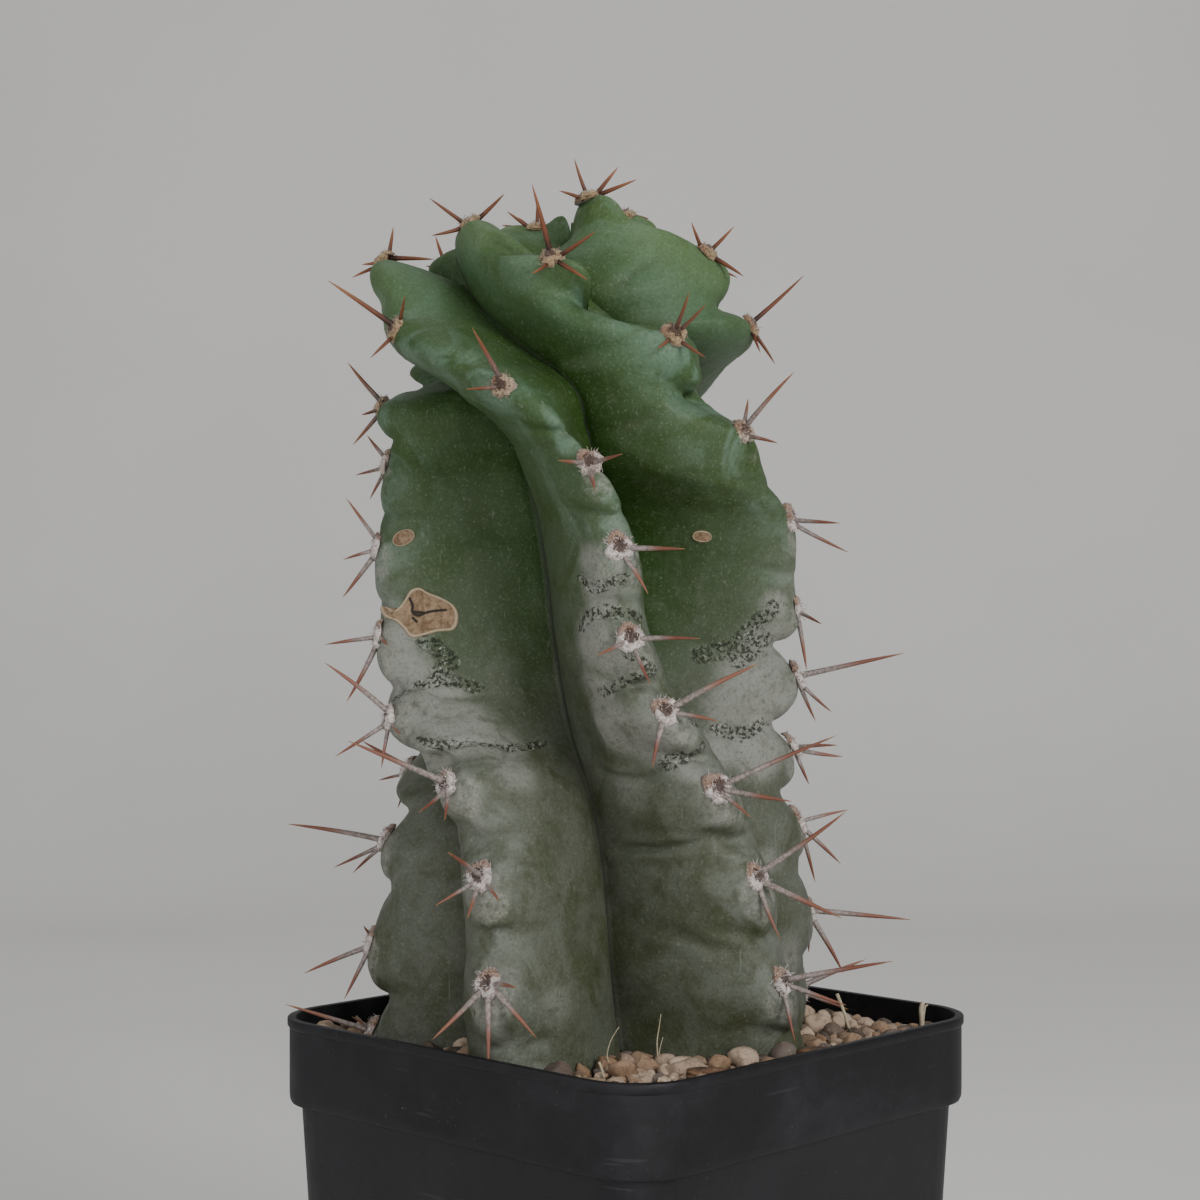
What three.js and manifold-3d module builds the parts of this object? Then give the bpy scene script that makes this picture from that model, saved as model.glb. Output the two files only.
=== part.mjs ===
// A potted cactus, Cereus forbesii in its spiral form: five deep ribs that wind up a stout stem,
// in a square nursery pot with a top dressing of grit. Millimetres, +Z up. The origin is the
// middle of the pot's underside, and the pot's walls face along X and Y.
import * as THREE from "three";
import { mergeVertices } from "three/addons/utils/BufferGeometryUtils.js";
import Module from "manifold-3d";

const wasm = await Module();
wasm.setup();

// The pot: half widths are measured to the middle of a wall's outer face.
const POT_HEIGHT = 90;
const POT_HALF_TOP = 50;
const POT_HALF_BASE = 43.8;
const POT_CORNER_TOP = 13;
const POT_CORNER_BASE = 10;
const WALL = 1.1;
const FLOOR = 1.6;
const BAND_HEIGHT = 16.5;
const BAND_STEP = 2.2;
const LIP_HEIGHT = 1.6;
const LIP_OUT = 0.4;
const CORNER_STEPS = 5;
const DRAIN_RADIUS = 4;
const DRAIN_CORNER = 28;
const DRAIN_SIDE = 33;

// The mix and its grit: levels are heights above the rim.
const MIX_LEVEL = -5;
const GAP = 0.3;
const GRAIN_TRIES = 9000;
const GRAIN_MOST = 112;
const GRAIN_SMALL = 1.9;
const GRAIN_LARGE = 3.5;
const GRAIN_SINK = 0.25;

// The stem: stations are heights above the rim up to DOME_START, and from there they run on
// round a dome of DOME_RADIUS to its top. Turns are in degrees from VIEW_TURN, the diagonal on
// which the plant shows its face, positive to the right.
const VIEW_TURN = 43.8;
const STEM_FOOT = -4.7;
const STUB_RADIUS = 15;
const STUB_DEPTH = 30;
const DOME_START = 120;
const DOME_RADIUS = 38;
const APEX_REACH = 30;
const CREST_ROUND = 6.3;
const MOST_ROUND = 0.45;
const MOST_SLANT = 1.8;
const FOOT_HANDLE = 0.55;
const TOP_HANDLE = 0.75;
const CREST_CORE = 12;
const CORE_PER_DIP = 1.25;
const ROWS_PER_AREOLE = 6;
const STEPS_PER_FLANK = 4;
const LAST_PLACE = 12;
const ROUNDING = 1e-6;

// Areoles and spines
const PAD_RADIUS = 2.7;
const PAD_HEIGHT = 1.3;
const SPINE_RADIUS = 0.62;

const deg = THREE.MathUtils.degToRad;
const RIGHT = new THREE.Vector3(Math.cos(deg(VIEW_TURN)), Math.sin(deg(VIEW_TURN)), 0);
const TOWARD = new THREE.Vector3(Math.sin(deg(VIEW_TURN)), -Math.cos(deg(VIEW_TURN)), 0);
const UP = new THREE.Vector3(0, 0, 1);

// A furrow between ribs closer than the one gap is shallow, and past the other is fully deep.
const SHALLOW_GAP = deg(25);
const DEEP_GAP = deg(90);
const SHALLOW_DEPTH = 2;

// How far the stem's axis stands to the right of the pot's middle, by station.
const LEAN = [
  [-6, -6.5],
  [30, -7.2],
  [72, -8],
  [105, -10.5],
  [120, -12],
  [150, -11],
  [180, -10.5],
];

// How far the bottoms of the furrows lie from the axis, by station.
const FURROW = [
  [-6, 15],
  [25, 11.5],
  [60, 10.5],
  [108, 12],
  [125, 17],
  [140, 20],
  [160, 23],
  [172, 26],
  [180, 29.5],
];

// How far a crest dips at the notch above each areole, by place.
const NOTCH_DEPTH = [
  [0, 3],
  [2, 3.6],
  [4, 5.2],
  [5, 4],
  [6, 2.2],
  [7, 2.6],
  [8, 3],
  [9, 5],
  [10, 5],
  [11, 4],
  [12, 0],
];

// Where the notch lies on the way from an areole to the next one up, by place.
const NOTCH_SHARE = [
  [0, 0.45],
  [4, 0.36],
  [7, 0.4],
  [9, 0.5],
  [12, 0.5],
];

// How far an areole sits back from the fullest part of the tubercle that carries it, where that
// belly lies on the way up from the notch, and how steeply the crest drops to the next notch.
const AREOLE_RECESS = 0.5;
const BELLY = 0.7;
const NOTCH_BEND = 1.2;

// The angle at which a flank leaves its furrow, in degrees from the furrow's own turn: plump
// ribs at the foot, slimmer ones with flat flanks higher up.
const FURROW_OPENING = [
  [0, 26],
  [3, 34],
  [6, 40],
  [8, 36],
  [10, 28],
  [12, 24],
];

// Where a furrow lies on the way from the rib before it to the rib after it, by place: the ribs
// of the crown lie over each other, with a steep flank on the one side.
const FURROW_SHARE = [
  [0, 0.5],
  [6, 0.5],
  [8, 0.4],
  [9, 0.34],
  [12, 0.34],
];

// The same for the furrow after the front rib, which overhangs it below the crown.
const FRONT_FURROW_SHARE = [
  [0, 0.5],
  [5, 0.46],
  [6, 0.36],
  [7, 0.14],
  [7.5, 0.2],
  [8, 0.36],
  [9, 0.48],
  [10, 0.5],
  [12, 0.5],
];

// A crest's dip fades over this share of its flank. On the upper flanks of the crown, between
// the two places, it keeps its depth for a share of the way, and then reaches further down.
const DIP_REACH = 0.62;
const CROWN_DIP_KEEP = 0.4;
const CROWN_DIP_REACH = 1.1;
const CROWN_PLACES = [7.6, 8.6];

// The ribs in order of turn. Every row is an areole: its place, counted in areoles from the
// soil, its station, turn and reach from the axis, and its spines, each the way from the areole
// to the tip: right, up and toward the viewer. A row without spines on the far side has the
// usual set, the rows at an end are the rib's ends, and a row with a bend only turns the crest.
// A last entry gives the share and depth of the notch above the areole, where it isn't the
// tables' own. A rib may have its own table for where the furrow after it lies.
const RIBS = [
  {
    name: "left",
    areoles: [
      [1 / 6, -4.7, -88, 43.5, "end"],
      [1 / 3, -3, -89, 43.2, [[-16.5, 5.5, 2], [-4, 3, 2]], [0.42, 5]],
      [4 / 3, 14, -90, 43.2, [[-13, -5.4, 2], [-4.8, -10.6, 3], [-1.7, 3.3, 2]], [0.57, 4]],
      [7 / 3, 33.5, -95, 40.2, [[-19.3, 3.3, 1], [-10.4, -5, 2], [-6.4, -6.2, 3]], [0.42, 6]],
      [10 / 3, 46, -115, 40, [[-7, -2, -3], [-3, -8, -3], [-11, 5, -11]]],
      [13 / 3, 61, -135, 40],
      [16 / 3, 77, -150, 40],
      [19 / 3, 93, -160, 40],
      [22 / 3, 109, -172, 40],
      [25 / 3, 124, -195, 39],
      [28 / 3, 138, -225, 38, [[3, 1, -11], [8, -2, -5], [-6, -3, -7]]],
      [31 / 3, 152, -255, 38, [[4, -1, -11], [9, -4, -4], [-2, -6, -7]]],
      [34 / 3, 168, -290, 36, [[5, 0, -6], [1, 3, -6], [-5, -1, -5]]],
      [12, 179.7, -330, 30, "end"],
    ],
  },
  {
    name: "front left",
    areoles: [
      [1 / 6, -4.7, -24, 43.5, "end"],
      [1, 12.5, -25, 43.5, [[-9.5, -9, 5], [0.4, -14.5, 5], [9, -9, 5], [5, 0.5, 8]]],
      [2, 31, -28, 41.8, [[-5, 5.5, 12], [-7.7, -4.3, 5], [3.8, -3.6, 7], [-2, -6.6, 6]]],
      [3, 47, -39, 41, [[-17, 8, 7], [-4.7, -4, 9], [0, -6, 6]]],
      [4, 58.2, -66, 41, [[-12, 10, 4], [-10, -6.7, 4], [-1, -9.3, 3], [3, -3, 5]], [0.4, 3]],
      [5, 73.4, -80, 40.5, [[-10, -1.5, 4], [-6, -12.5, 2], [3, -2, 6]], [0.4, 1.4]],
      [6, 90.3, -85, 39.5, [[-6, 9, 4], [-6.5, -2.3, 4], [-6.7, -9.6, 1]], [0.4, 1.6]],
      [7, 106.4, -92, 36.5, [[-6.2, -2, 3], [-3, -7, 3], [-5, 6, -6]], [0.4, 2.4]],
      [8, 118, -100, 37, [[-7, 8.4, 2], [-4, -1.8, 3], [-6, -7.4, 0]], [0.4, 9]],
      [9, 131, -135, 37, [[-6, 1, -9], [-8, -4, -3], [1, -3, -10]]],
      [10, 144, -172, 38, [[-3, 0, -12], [-8, -3, -6], [5, -3, -8]]],
      [11, 158, -212, 37, [[2, 1, -9], [-5, -1, -7], [6, -2, -6]]],
      [12, 179.7, -255, 30, "end"],
    ],
  },
  {
    name: "front",
    furrowShare: FRONT_FURROW_SHARE,
    areoles: [
      [1 / 6, -4.7, 66, 43.5, "end"],
      [1, 10.5, 55, 43.5, [[19.5, 4.5, 6], [11.5, -3.7, 3], [2, -11, 3]]],
      [2, 30, 47.5, 42, [[16, 12, 4], [15, -6.5, 6], [4, -11, 3]]],
      [3, 46.5, 35.5, 41, [[21, 9.5, 3], [12.8, -1.8, 6], [5.6, -4.5, 6]]],
      [4, 60.5, 20.5, 41, [[16, 8.5, 6], [9, -1.5, 5], [-2.5, -10, 4]]],
      [5, 73.5, 12, 40.8, [[12, 0, 6], [-5.7, -2.7, 9], [3.4, -8, 5]]],
      [6, 89.5, 10.8, 40.5, [[11.3, -0.4, 6], [5, -8.3, 5]]],
      [7, 104.4, 4.9, 40.2, [[5.5, 1, 9], [-5, 0, 8], [1, -5, 8]]],
      [8, 118, -15.5, 40, [[-5, 9, 8], [-6, -1, 6]], [0.45, 2]],
      [9, 130.4, -59, 38.5, [[-12, 8, 6], [2, 5.5, 5], [-4.5, -5.5, 4]], [0.45, 2.5]],
      [10, 143.9, -95, 45, [[1.4, 6.6, 1], [-4.3, -1, 2], [-6.6, -3, -1], [10, -1, 4]], [0.5, 5]],
      [10.45, 145.8, -108, 33, "bend"],
      [11, 148, -122, 41, [[-4, 1, -4], [-2, 6, -1]]],
      [12, 179.7, -160, 30, "end"],
    ],
  },
  {
    name: "right",
    areoles: [
      [1 / 6, -4.7, 112, 44, "end"],
      [0.5, 2.5, 110, 45, [[13.4, 5, -3], [10, -4, 0]]],
      [1.5, 19.3, 103, 44.8, [[20.6, -2.2, -1], [7.1, -13, 0], [0, -9.6, -3]], [0.55, 3]],
      [2.5, 37, 97, 42, [[10.4, 2, -4], [8.4, -8.4, 0], [3, -12.7, -2]], [0.36, 5]],
      [3.5, 52, 93, 40.3, [[8.8, 0.6, 4], [10.5, -2, -2], [3, -8, 0]], [0.3, 6.5]],
      [4.5, 65.5, 92, 41.5, [[20.6, 4.5, 2], [7, -7, 2], [3.5, -9, 0]], [0.5, 6.5]],
      [5.5, 78.6, 91, 42, [[4.7, -3, 6], [1.6, -12.2, 1], [3, -2, -6]], [0.4, 1]],
      [6.5, 95.7, 82, 42, [[9.3, -0.8, 4], [11.4, -6.2, 1]], [0.4, 1.5]],
      [7, 103, 65, 39.8, "bend"],
      [7.5, 111, 55, 40.2, [[9.1, 10.4, 5], [1, 6.3, -3], [6, -2, 5]], [0.4, 9]],
      [8.2, 122.5, 37.5, 38, "bend"],
      [8.5, 128, 33, 38.5, [[2.5, 6.7, 6], [5.4, 5, 4], [5.4, -4.5, 5], [-3, -3, 6]], [0.66, 17]],
      [9.5, 143.2, -5, 38.5, [[-3.4, 12.4, 5], [7.8, 4, 6], [6.7, -5, 5], [-3.4, -3.5, 6]], [0.4, 4.5]],
      [10.5, 156.5, -60, 38.5, [[-7.4, 4.8, 3], [6.5, 5.6, 1], [-7, -2.8, 4]]],
      [11.5, 169.7, -130, 34.5, [[-7, 1, -1], [-5.7, 3.7, 1], [-3.5, 3.3, -3], [0, 6, -1]]],
      [11.8, 176, -150, 35, "bend"],
      [12, 179.7, -165, 30, "end"],
    ],
  },
  {
    name: "far right",
    areoles: [
      [1 / 6, -4.7, 192, 43, "end"],
      [1, 11, 190, 43],
      [2, 29, 184, 42],
      [3, 46, 180, 41],
      [4, 61, 175, 41],
      [5, 75, 170, 41],
      [6, 90, 166, 41],
      [7, 105, 160, 40],
      [8, 119, 148, 39],
      [8.5, 126.5, 124, 38.5, "bend"],
      [9, 133.3, 90, 38.7, [[10.6, 9.7, 0], [4.6, -7.5, 1], [1.4, -5.6, 3], [-0.4, 3, -4]], [0.42, 7]],
      [10, 149.2, 75, 38.5, [[-2.8, 5.3, 4], [5, 4.9, 1], [6.8, -5, 2]], [0.62, 4]],
      [11, 173, 30, 38, [[-2.7, 7.5, 1], [5.4, 6.1, 1], [9.2, 3, 2], [-5.6, 1.1, 3]]],
      [12, 179.7, -20, 30, "end"],
    ],
  },
];

// The usual set of spines, each by its way across, along the crest and out from the areole.
const USUAL_SPINES = [
  [3, 7, 15],
  [-8, -4, 6],
  [7.5, -5, 6],
  [0.5, -10, 5],
];

// A seeded draw between two values
function drawFrom(seed) {
  let state = seed;
  return (low, high) => {
    state = (state + 0x6d2b79f5) | 0;
    let t = Math.imul(state ^ (state >>> 15), 1 | state);
    t = (t + Math.imul(t ^ (t >>> 7), 61 | t)) ^ t;
    return low + (high - low) * (((t ^ (t >>> 14)) >>> 0) / 4294967296);
  };
}

// The value at a place of a smooth curve through the rows of a table, whose first column is
// the place.
function along(rows, place, column = 1) {
  let i = 0;
  while (i < rows.length - 2 && place > rows[i + 1][0]) i++;
  const slope = (j) => {
    const a = rows[Math.max(j - 1, 0)];
    const b = rows[Math.min(j + 1, rows.length - 1)];
    return (b[column] - a[column]) / (b[0] - a[0]);
  };
  const step = rows[i + 1][0] - rows[i][0];
  const t = Math.min(Math.max((place - rows[i][0]) / step, 0), 1);
  const from = (1 + 2 * t) * (1 - t) ** 2 * rows[i][column];
  const to = t * t * (3 - 2 * t) * rows[i + 1][column];
  const bend = t * (1 - t) ** 2 * slope(i) - t * t * (1 - t) * slope(i + 1);
  return from + to + bend * step;
}

// How far round the dome a station lies, in radians up from the horizontal.
const elevation = (station) => Math.max(station - DOME_START, 0) / DOME_RADIUS;

// The point of the stem at a station, a turn in radians and a reach from the axis.
function stemPoint(station, turn, reach) {
  const rise = elevation(station);
  return new THREE.Vector3()
    .addScaledVector(UP, POT_HEIGHT + Math.min(station, DOME_START) + reach * Math.sin(rise))
    .addScaledVector(RIGHT, along(LEAN, station) + reach * Math.cos(rise) * Math.sin(turn))
    .addScaledVector(TOWARD, reach * Math.cos(rise) * Math.cos(turn));
}

// How far a crest dips at a share of the way from one areole to the next: deepest in the notch,
// and least on the round belly of the next tubercle, a little below its areole.
function dipAt(share, [notch, depth]) {
  if (share < notch) return AREOLE_RECESS + (depth - AREOLE_RECESS) * (share / notch) ** NOTCH_BEND;
  const rise = (share - notch) / (1 - notch);
  const swell = Math.sqrt(Math.max(1 - (1 - Math.min(rise / BELLY, 1)) ** 2, 0));
  const recess = AREOLE_RECESS * Math.max((rise - BELLY) / (1 - BELLY), 0) ** 2;
  return depth * (1 - swell) + recess;
}

// How much wider a level cut through a rib is than the rib itself, because it climbs at a slant.
function slantAt(rib, place) {
  const step = 0.25;
  const rise = along(rib.areoles, place + step) - along(rib.areoles, place - step);
  const swing = deg(along(rib.areoles, place + step, 2) - along(rib.areoles, place - step, 2));
  const across = swing * along(rib.areoles, place, 3) * Math.cos(elevation(along(rib.areoles, place)));
  return Math.min(Math.hypot(rise, across) / Math.max(rise, 1), MOST_SLANT);
}

// The crest of a rib at a place: station, turn in radians, full reach and the notch's dip there.
function crestAt(rib, place) {
  const rows = rib.areoles;
  const phase = rows[2][0] % 1;
  const share = (((place - phase + ROUNDING) % 1) + 1) % 1;
  const middle = place - share + 0.5;
  const areoles = rows.filter((row) => row[4] !== "bend" && row[0] <= place + ROUNDING);
  const below = areoles.at(-1) ?? rows[0];
  const notch = below[5] ?? [along(NOTCH_SHARE, middle), along(NOTCH_DEPTH, middle)];
  return {
    station: along(rows, place, 1),
    turn: deg(along(rows, place, 2)),
    reach: along(rows, place, 3),
    dip: dipAt(share, notch),
  };
}

// The points of one flank, from the crest of a rib to just short of the furrow beside it, with
// the furrow's own point last. The side is 1 toward greater turns and -1 the other way.
function flank(rib, other, lap, side, place, grow) {
  const crest = crestAt(rib, place);
  const next = crestAt(other, place);
  const gap = Math.abs(next.turn + lap - crest.turn);
  const owner = side > 0 ? rib : other;
  const near = along(owner.furrowShare ?? FURROW_SHARE, place);
  const part = side > 0 ? near : 1 - near;
  const width = gap * part;
  const station = THREE.MathUtils.lerp(crest.station, next.station, part);
  const rise = elevation(station);
  const depth = THREE.MathUtils.smoothstep(gap, SHALLOW_GAP, DEEP_GAP);
  const reach = crest.reach + grow;
  const floor = along(FURROW, station) + grow;
  const furrow = THREE.MathUtils.lerp((reach + next.reach) / 2 - SHALLOW_DEPTH, floor, depth);
  const plump = CREST_ROUND * slantAt(rib, place);
  const round = Math.min(plump, reach * width * MOST_ROUND);
  const valley = new THREE.Vector2(furrow * Math.cos(width), furrow * Math.sin(width));
  const wall = width - deg(along(FURROW_OPENING, place));
  const handle = (reach - furrow) * THREE.MathUtils.lerp(FOOT_HANDLE, TOP_HANDLE, Math.sin(rise));
  const curve = new THREE.CubicBezierCurve(
    new THREE.Vector2(reach, 0),
    new THREE.Vector2(reach, round),
    new THREE.Vector2(
      valley.x + handle * Math.cos(wall),
      valley.y + handle * Math.sin(wall),
    ),
    valley,
  );
  const crown = side > 0 ? THREE.MathUtils.smoothstep(place, ...CROWN_PLACES) : 0;
  const keep = crown * CROWN_DIP_KEEP;
  const end = THREE.MathUtils.lerp(DIP_REACH, CROWN_DIP_REACH, crown);
  const core = reach - Math.max(CREST_CORE, CORE_PER_DIP * crest.dip);
  const points = [];
  for (let i = 0; i <= STEPS_PER_FLANK; i++) {
    const share = i / STEPS_PER_FLANK;
    const flat = curve.getPoint(share);
    const fade = 1 - THREE.MathUtils.smoothstep(share, keep, end);
    const inward = new THREE.Vector2(core, 0).sub(flat).setLength(crest.dip * fade);
    flat.add(inward);
    points.push(
      stemPoint(
        THREE.MathUtils.lerp(crest.station, station, share * share),
        crest.turn + side * Math.atan2(flat.y, flat.x),
        flat.length(),
      ),
    );
  }
  return points;
}

// One closed row of the stem's skin: every rib's two flanks, with each furrow point once.
function skinRow(place, grow) {
  const row = [];
  RIBS.forEach((rib, i) => {
    const before = RIBS[(i + RIBS.length - 1) % RIBS.length];
    const after = RIBS[(i + 1) % RIBS.length];
    const lapBefore = i === 0 ? -2 * Math.PI : 0;
    const lapAfter = i === RIBS.length - 1 ? 2 * Math.PI : 0;
    const left = flank(rib, before, lapBefore, -1, place, grow).reverse();
    const right = flank(rib, after, lapAfter, 1, place, grow);
    row.push(...left, ...right.slice(1, -1));
  });
  return row;
}

// A closed mesh through rings of points, each ring closed to a point at its two ends.
function loft(rings, first, last) {
  const count = rings[0].length;
  const points = [first, ...rings.flat(), last];
  const index = [];
  const at = (ring, i) => 1 + ring * count + (i % count);
  for (let i = 0; i < count; i++) {
    index.push(0, at(0, i + 1), at(0, i));
    for (let r = 0; r < rings.length - 1; r++) {
      index.push(at(r, i), at(r, i + 1), at(r + 1, i + 1));
      index.push(at(r, i), at(r + 1, i + 1), at(r + 1, i));
    }
    index.push(at(rings.length - 1, i), at(rings.length - 1, i + 1), points.length - 1);
  }
  return new THREE.BufferGeometry().setFromPoints(points).setIndex(index);
}

// A solid of a closed geometry
function solid(geometry) {
  const bare = geometry.clone();
  bare.deleteAttribute("normal");
  bare.deleteAttribute("uv");
  const merged = mergeVertices(bare, 1e-4);
  return new wasm.Manifold(
    new wasm.Mesh({
      numProp: 3,
      vertProperties: merged.attributes.position.array,
      triVerts: new Uint32Array(merged.index.array),
    }),
  );
}

// The stem's skin with its plain round stub below, all grown outward by a margin.
function skin(grow) {
  const rows = [];
  const first = RIBS[0].areoles[0][0];
  const count = Math.round((LAST_PLACE - first) * ROWS_PER_AREOLE);
  for (let i = 0; i < count; i++) rows.push(skinRow(first + i / ROWS_PER_AREOLE, grow));
  const stub = (level) =>
    rows[0].map((point) => {
      const middle = stemPoint(STEM_FOOT, 0, 0);
      const out = point.clone().sub(middle).setZ(0).setLength(STUB_RADIUS + grow);
      return out.add(middle).setZ(POT_HEIGHT + level);
    });
  const foot = stemPoint(STEM_FOOT, 0, 0).setZ(POT_HEIGHT - STUB_DEPTH - grow);
  const apex = stemPoint(DOME_START + (DOME_RADIUS * Math.PI) / 2, 0, APEX_REACH + grow);
  return solid(loft([stub(-STUB_DEPTH - grow), stub(STEM_FOOT), ...rows], foot, apex));
}

// An areole's own frame on its crest: where it sits, and the ways across, along and out.
function areoleFrame(rib, place) {
  const on = (p) => {
    const crest = crestAt(rib, p);
    return stemPoint(crest.station, crest.turn, crest.reach - crest.dip);
  };
  const at = on(place);
  const crest = crestAt(rib, place);
  const along3 = on(place + 0.06).sub(on(place - 0.06)).normalize();
  const radial = stemPoint(crest.station, crest.turn, crest.reach + 1).sub(
    stemPoint(crest.station, crest.turn, crest.reach),
  );
  const across = new THREE.Vector3().crossVectors(along3, radial).normalize();
  const out = new THREE.Vector3().crossVectors(across, along3).normalize();
  return { at, across, along: along3, out };
}

// A many-sided body round a line: rings at given distances along it with given radii.
function spindle(base, axis, sides, rings) {
  const helper = Math.abs(axis.z) < 0.8 ? UP : RIGHT;
  const u = new THREE.Vector3().crossVectors(helper, axis).normalize();
  const v = new THREE.Vector3().crossVectors(axis, u);
  const ends = [rings[0][0], rings[rings.length - 1][0]];
  const loops = rings
    .filter(([, radius]) => radius > 0)
    .map(([distance, radius]) =>
      Array.from({ length: sides }, (_, i) => {
        const angle = (2 * Math.PI * i) / sides;
        return base
          .clone()
          .addScaledVector(axis, distance)
          .addScaledVector(u, radius * Math.cos(angle))
          .addScaledVector(v, radius * Math.sin(angle));
      }),
    );
  const tip = (distance) => base.clone().addScaledVector(axis, distance);
  return solid(loft(loops, tip(ends[0]), tip(ends[1])));
}

// One areole with its spines: a low woolly pad, and three-sided needles sunk well into it.
function areole(rib, row, grow, draw) {
  const frame = areoleFrame(rib, row[0]);
  const pad = [
    [-1.6, PAD_RADIUS * 0.7 + grow],
    [0.3, PAD_RADIUS + grow],
    [PAD_HEIGHT + grow, 0],
  ];
  let body = spindle(frame.at, frame.out, 6, pad);
  const ways = row[4]
    ? row[4].map(([right, up, toward]) =>
        new THREE.Vector3()
          .addScaledVector(RIGHT, right)
          .addScaledVector(UP, up)
          .addScaledVector(TOWARD, toward),
      )
    : USUAL_SPINES.map(([across, up, out]) =>
        new THREE.Vector3()
          .addScaledVector(frame.across, across + draw(-2, 2))
          .addScaledVector(frame.along, up + draw(-2, 2))
          .addScaledVector(frame.out, out),
      );
  for (const way of ways) {
    const length = way.length();
    const axis = way.clone().normalize();
    const slide = axis.clone().addScaledVector(frame.out, -axis.dot(frame.out));
    const base = frame.at.clone().addScaledVector(slide, PAD_RADIUS * 0.5);
    const radius = SPINE_RADIUS * Math.min(0.6 + length / 30, 1.2) + grow;
    const needle = [
      [-0.8, radius],
      [length - PAD_RADIUS * 0.5 * slide.length() + grow, 0],
    ];
    body = body.add(spindle(base, axis, 3, needle));
  }
  return body;
}

// Every areole of the stem whose station is under a limit, grown by a margin.
function areoles(under, grow) {
  const draw = drawFrom(7);
  const bodies = [];
  for (const rib of RIBS)
    for (const row of rib.areoles)
      if (row[4] !== "end" && row[4] !== "bend" && row[1] < under)
        bodies.push(areole(rib, row, grow, draw));
  return bodies;
}

// A ring of a square with rounded corners, counted round from the +X side.
function squareRing(half, corner, level) {
  const ring = [];
  for (let quarter = 0; quarter < 4; quarter++)
    for (let i = 0; i <= CORNER_STEPS; i++) {
      const angle = (Math.PI / 2) * (quarter + i / CORNER_STEPS);
      const middle = Math.PI / 4 + (Math.PI / 2) * quarter;
      const inset = (half - corner) * Math.SQRT2;
      const x = inset * Math.cos(middle) + corner * Math.cos(angle);
      const y = inset * Math.sin(middle) + corner * Math.sin(angle);
      ring.push(new THREE.Vector3(x, y, level));
    }
  return ring;
}

// The pot's outer face at a level: half width and corner radius of the wall under the band.
function wallAt(level) {
  const share = level / (POT_HEIGHT - BAND_HEIGHT);
  return [
    THREE.MathUtils.lerp(POT_HALF_BASE, POT_HALF_TOP - LIP_OUT - BAND_STEP, share),
    THREE.MathUtils.lerp(POT_CORNER_BASE, POT_CORNER_TOP - BAND_STEP, share),
  ];
}

// Rings of the pot's inner face from the floor up, drawn in by a margin.
function innerRings(margin) {
  const bandLevel = POT_HEIGHT - BAND_HEIGHT;
  const inset = WALL + margin;
  const [halfLow, cornerLow] = wallAt(FLOOR);
  const [halfHigh, cornerHigh] = wallAt(bandLevel);
  const halfBand = POT_HALF_TOP - LIP_OUT - inset;
  return [
    [halfLow - inset, cornerLow - inset, FLOOR + margin],
    [halfHigh - inset, cornerHigh - inset, bandLevel + 0.5],
    [halfBand - 0.5, POT_CORNER_TOP - inset - 0.5, bandLevel + 2.5],
    [halfBand, POT_CORNER_TOP - inset, POT_HEIGHT],
  ];
}

function makePot() {
  const bandLevel = POT_HEIGHT - BAND_HEIGHT;
  const band = POT_HALF_TOP - LIP_OUT;
  const [halfHigh, cornerHigh] = wallAt(bandLevel);
  const outer = [
    [POT_HALF_BASE - 1, POT_CORNER_BASE - 1, 0],
    [POT_HALF_BASE, POT_CORNER_BASE, 1],
    [halfHigh, cornerHigh, bandLevel],
    [band - 0.9, POT_CORNER_TOP - 1.2, bandLevel],
    [band - 0.1, POT_CORNER_TOP - 0.5, bandLevel + 0.9],
    [band, POT_CORNER_TOP - LIP_OUT, bandLevel + 2.2],
    [band, POT_CORNER_TOP - LIP_OUT, POT_HEIGHT - LIP_HEIGHT - 0.4],
    [POT_HALF_TOP, POT_CORNER_TOP, POT_HEIGHT - LIP_HEIGHT],
    [POT_HALF_TOP, POT_CORNER_TOP, POT_HEIGHT],
  ];
  const rings = [...outer, ...innerRings(0).reverse()].map((ring) => squareRing(...ring));
  const middle = (level) => new THREE.Vector3(0, 0, level);
  let pot = solid(loft(rings, middle(0), middle(FLOOR)));
  for (let i = 0; i < 4; i++) {
    const angle = (Math.PI / 2) * i;
    for (const [x, y] of [[DRAIN_CORNER, DRAIN_CORNER], [DRAIN_SIDE, 0]]) {
      const drain = new THREE.CylinderGeometry(DRAIN_RADIUS, DRAIN_RADIUS, 4 * FLOOR, 10);
      drain.rotateX(Math.PI / 2).translate(x, y, 0).rotateZ(angle);
      pot = pot.subtract(solid(drain));
    }
  }
  return pot;
}

// A place on the mix as seen from the front: right of the pot's middle, and toward the viewer.
function seenPlace(right, toward) {
  return new THREE.Vector3().addScaledVector(RIGHT, right).addScaledVector(TOWARD, toward);
}

const CHIPS = [
  { name: "bark_chip_1", right: 13.7, toward: 40, turn: 8, long: 9, wide: 4.5, thick: 2.4 },
  { name: "bark_chip_2", right: 35.5, toward: 21, turn: -12, long: 9.5, wide: 5, thick: 2.2 },
];

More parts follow.
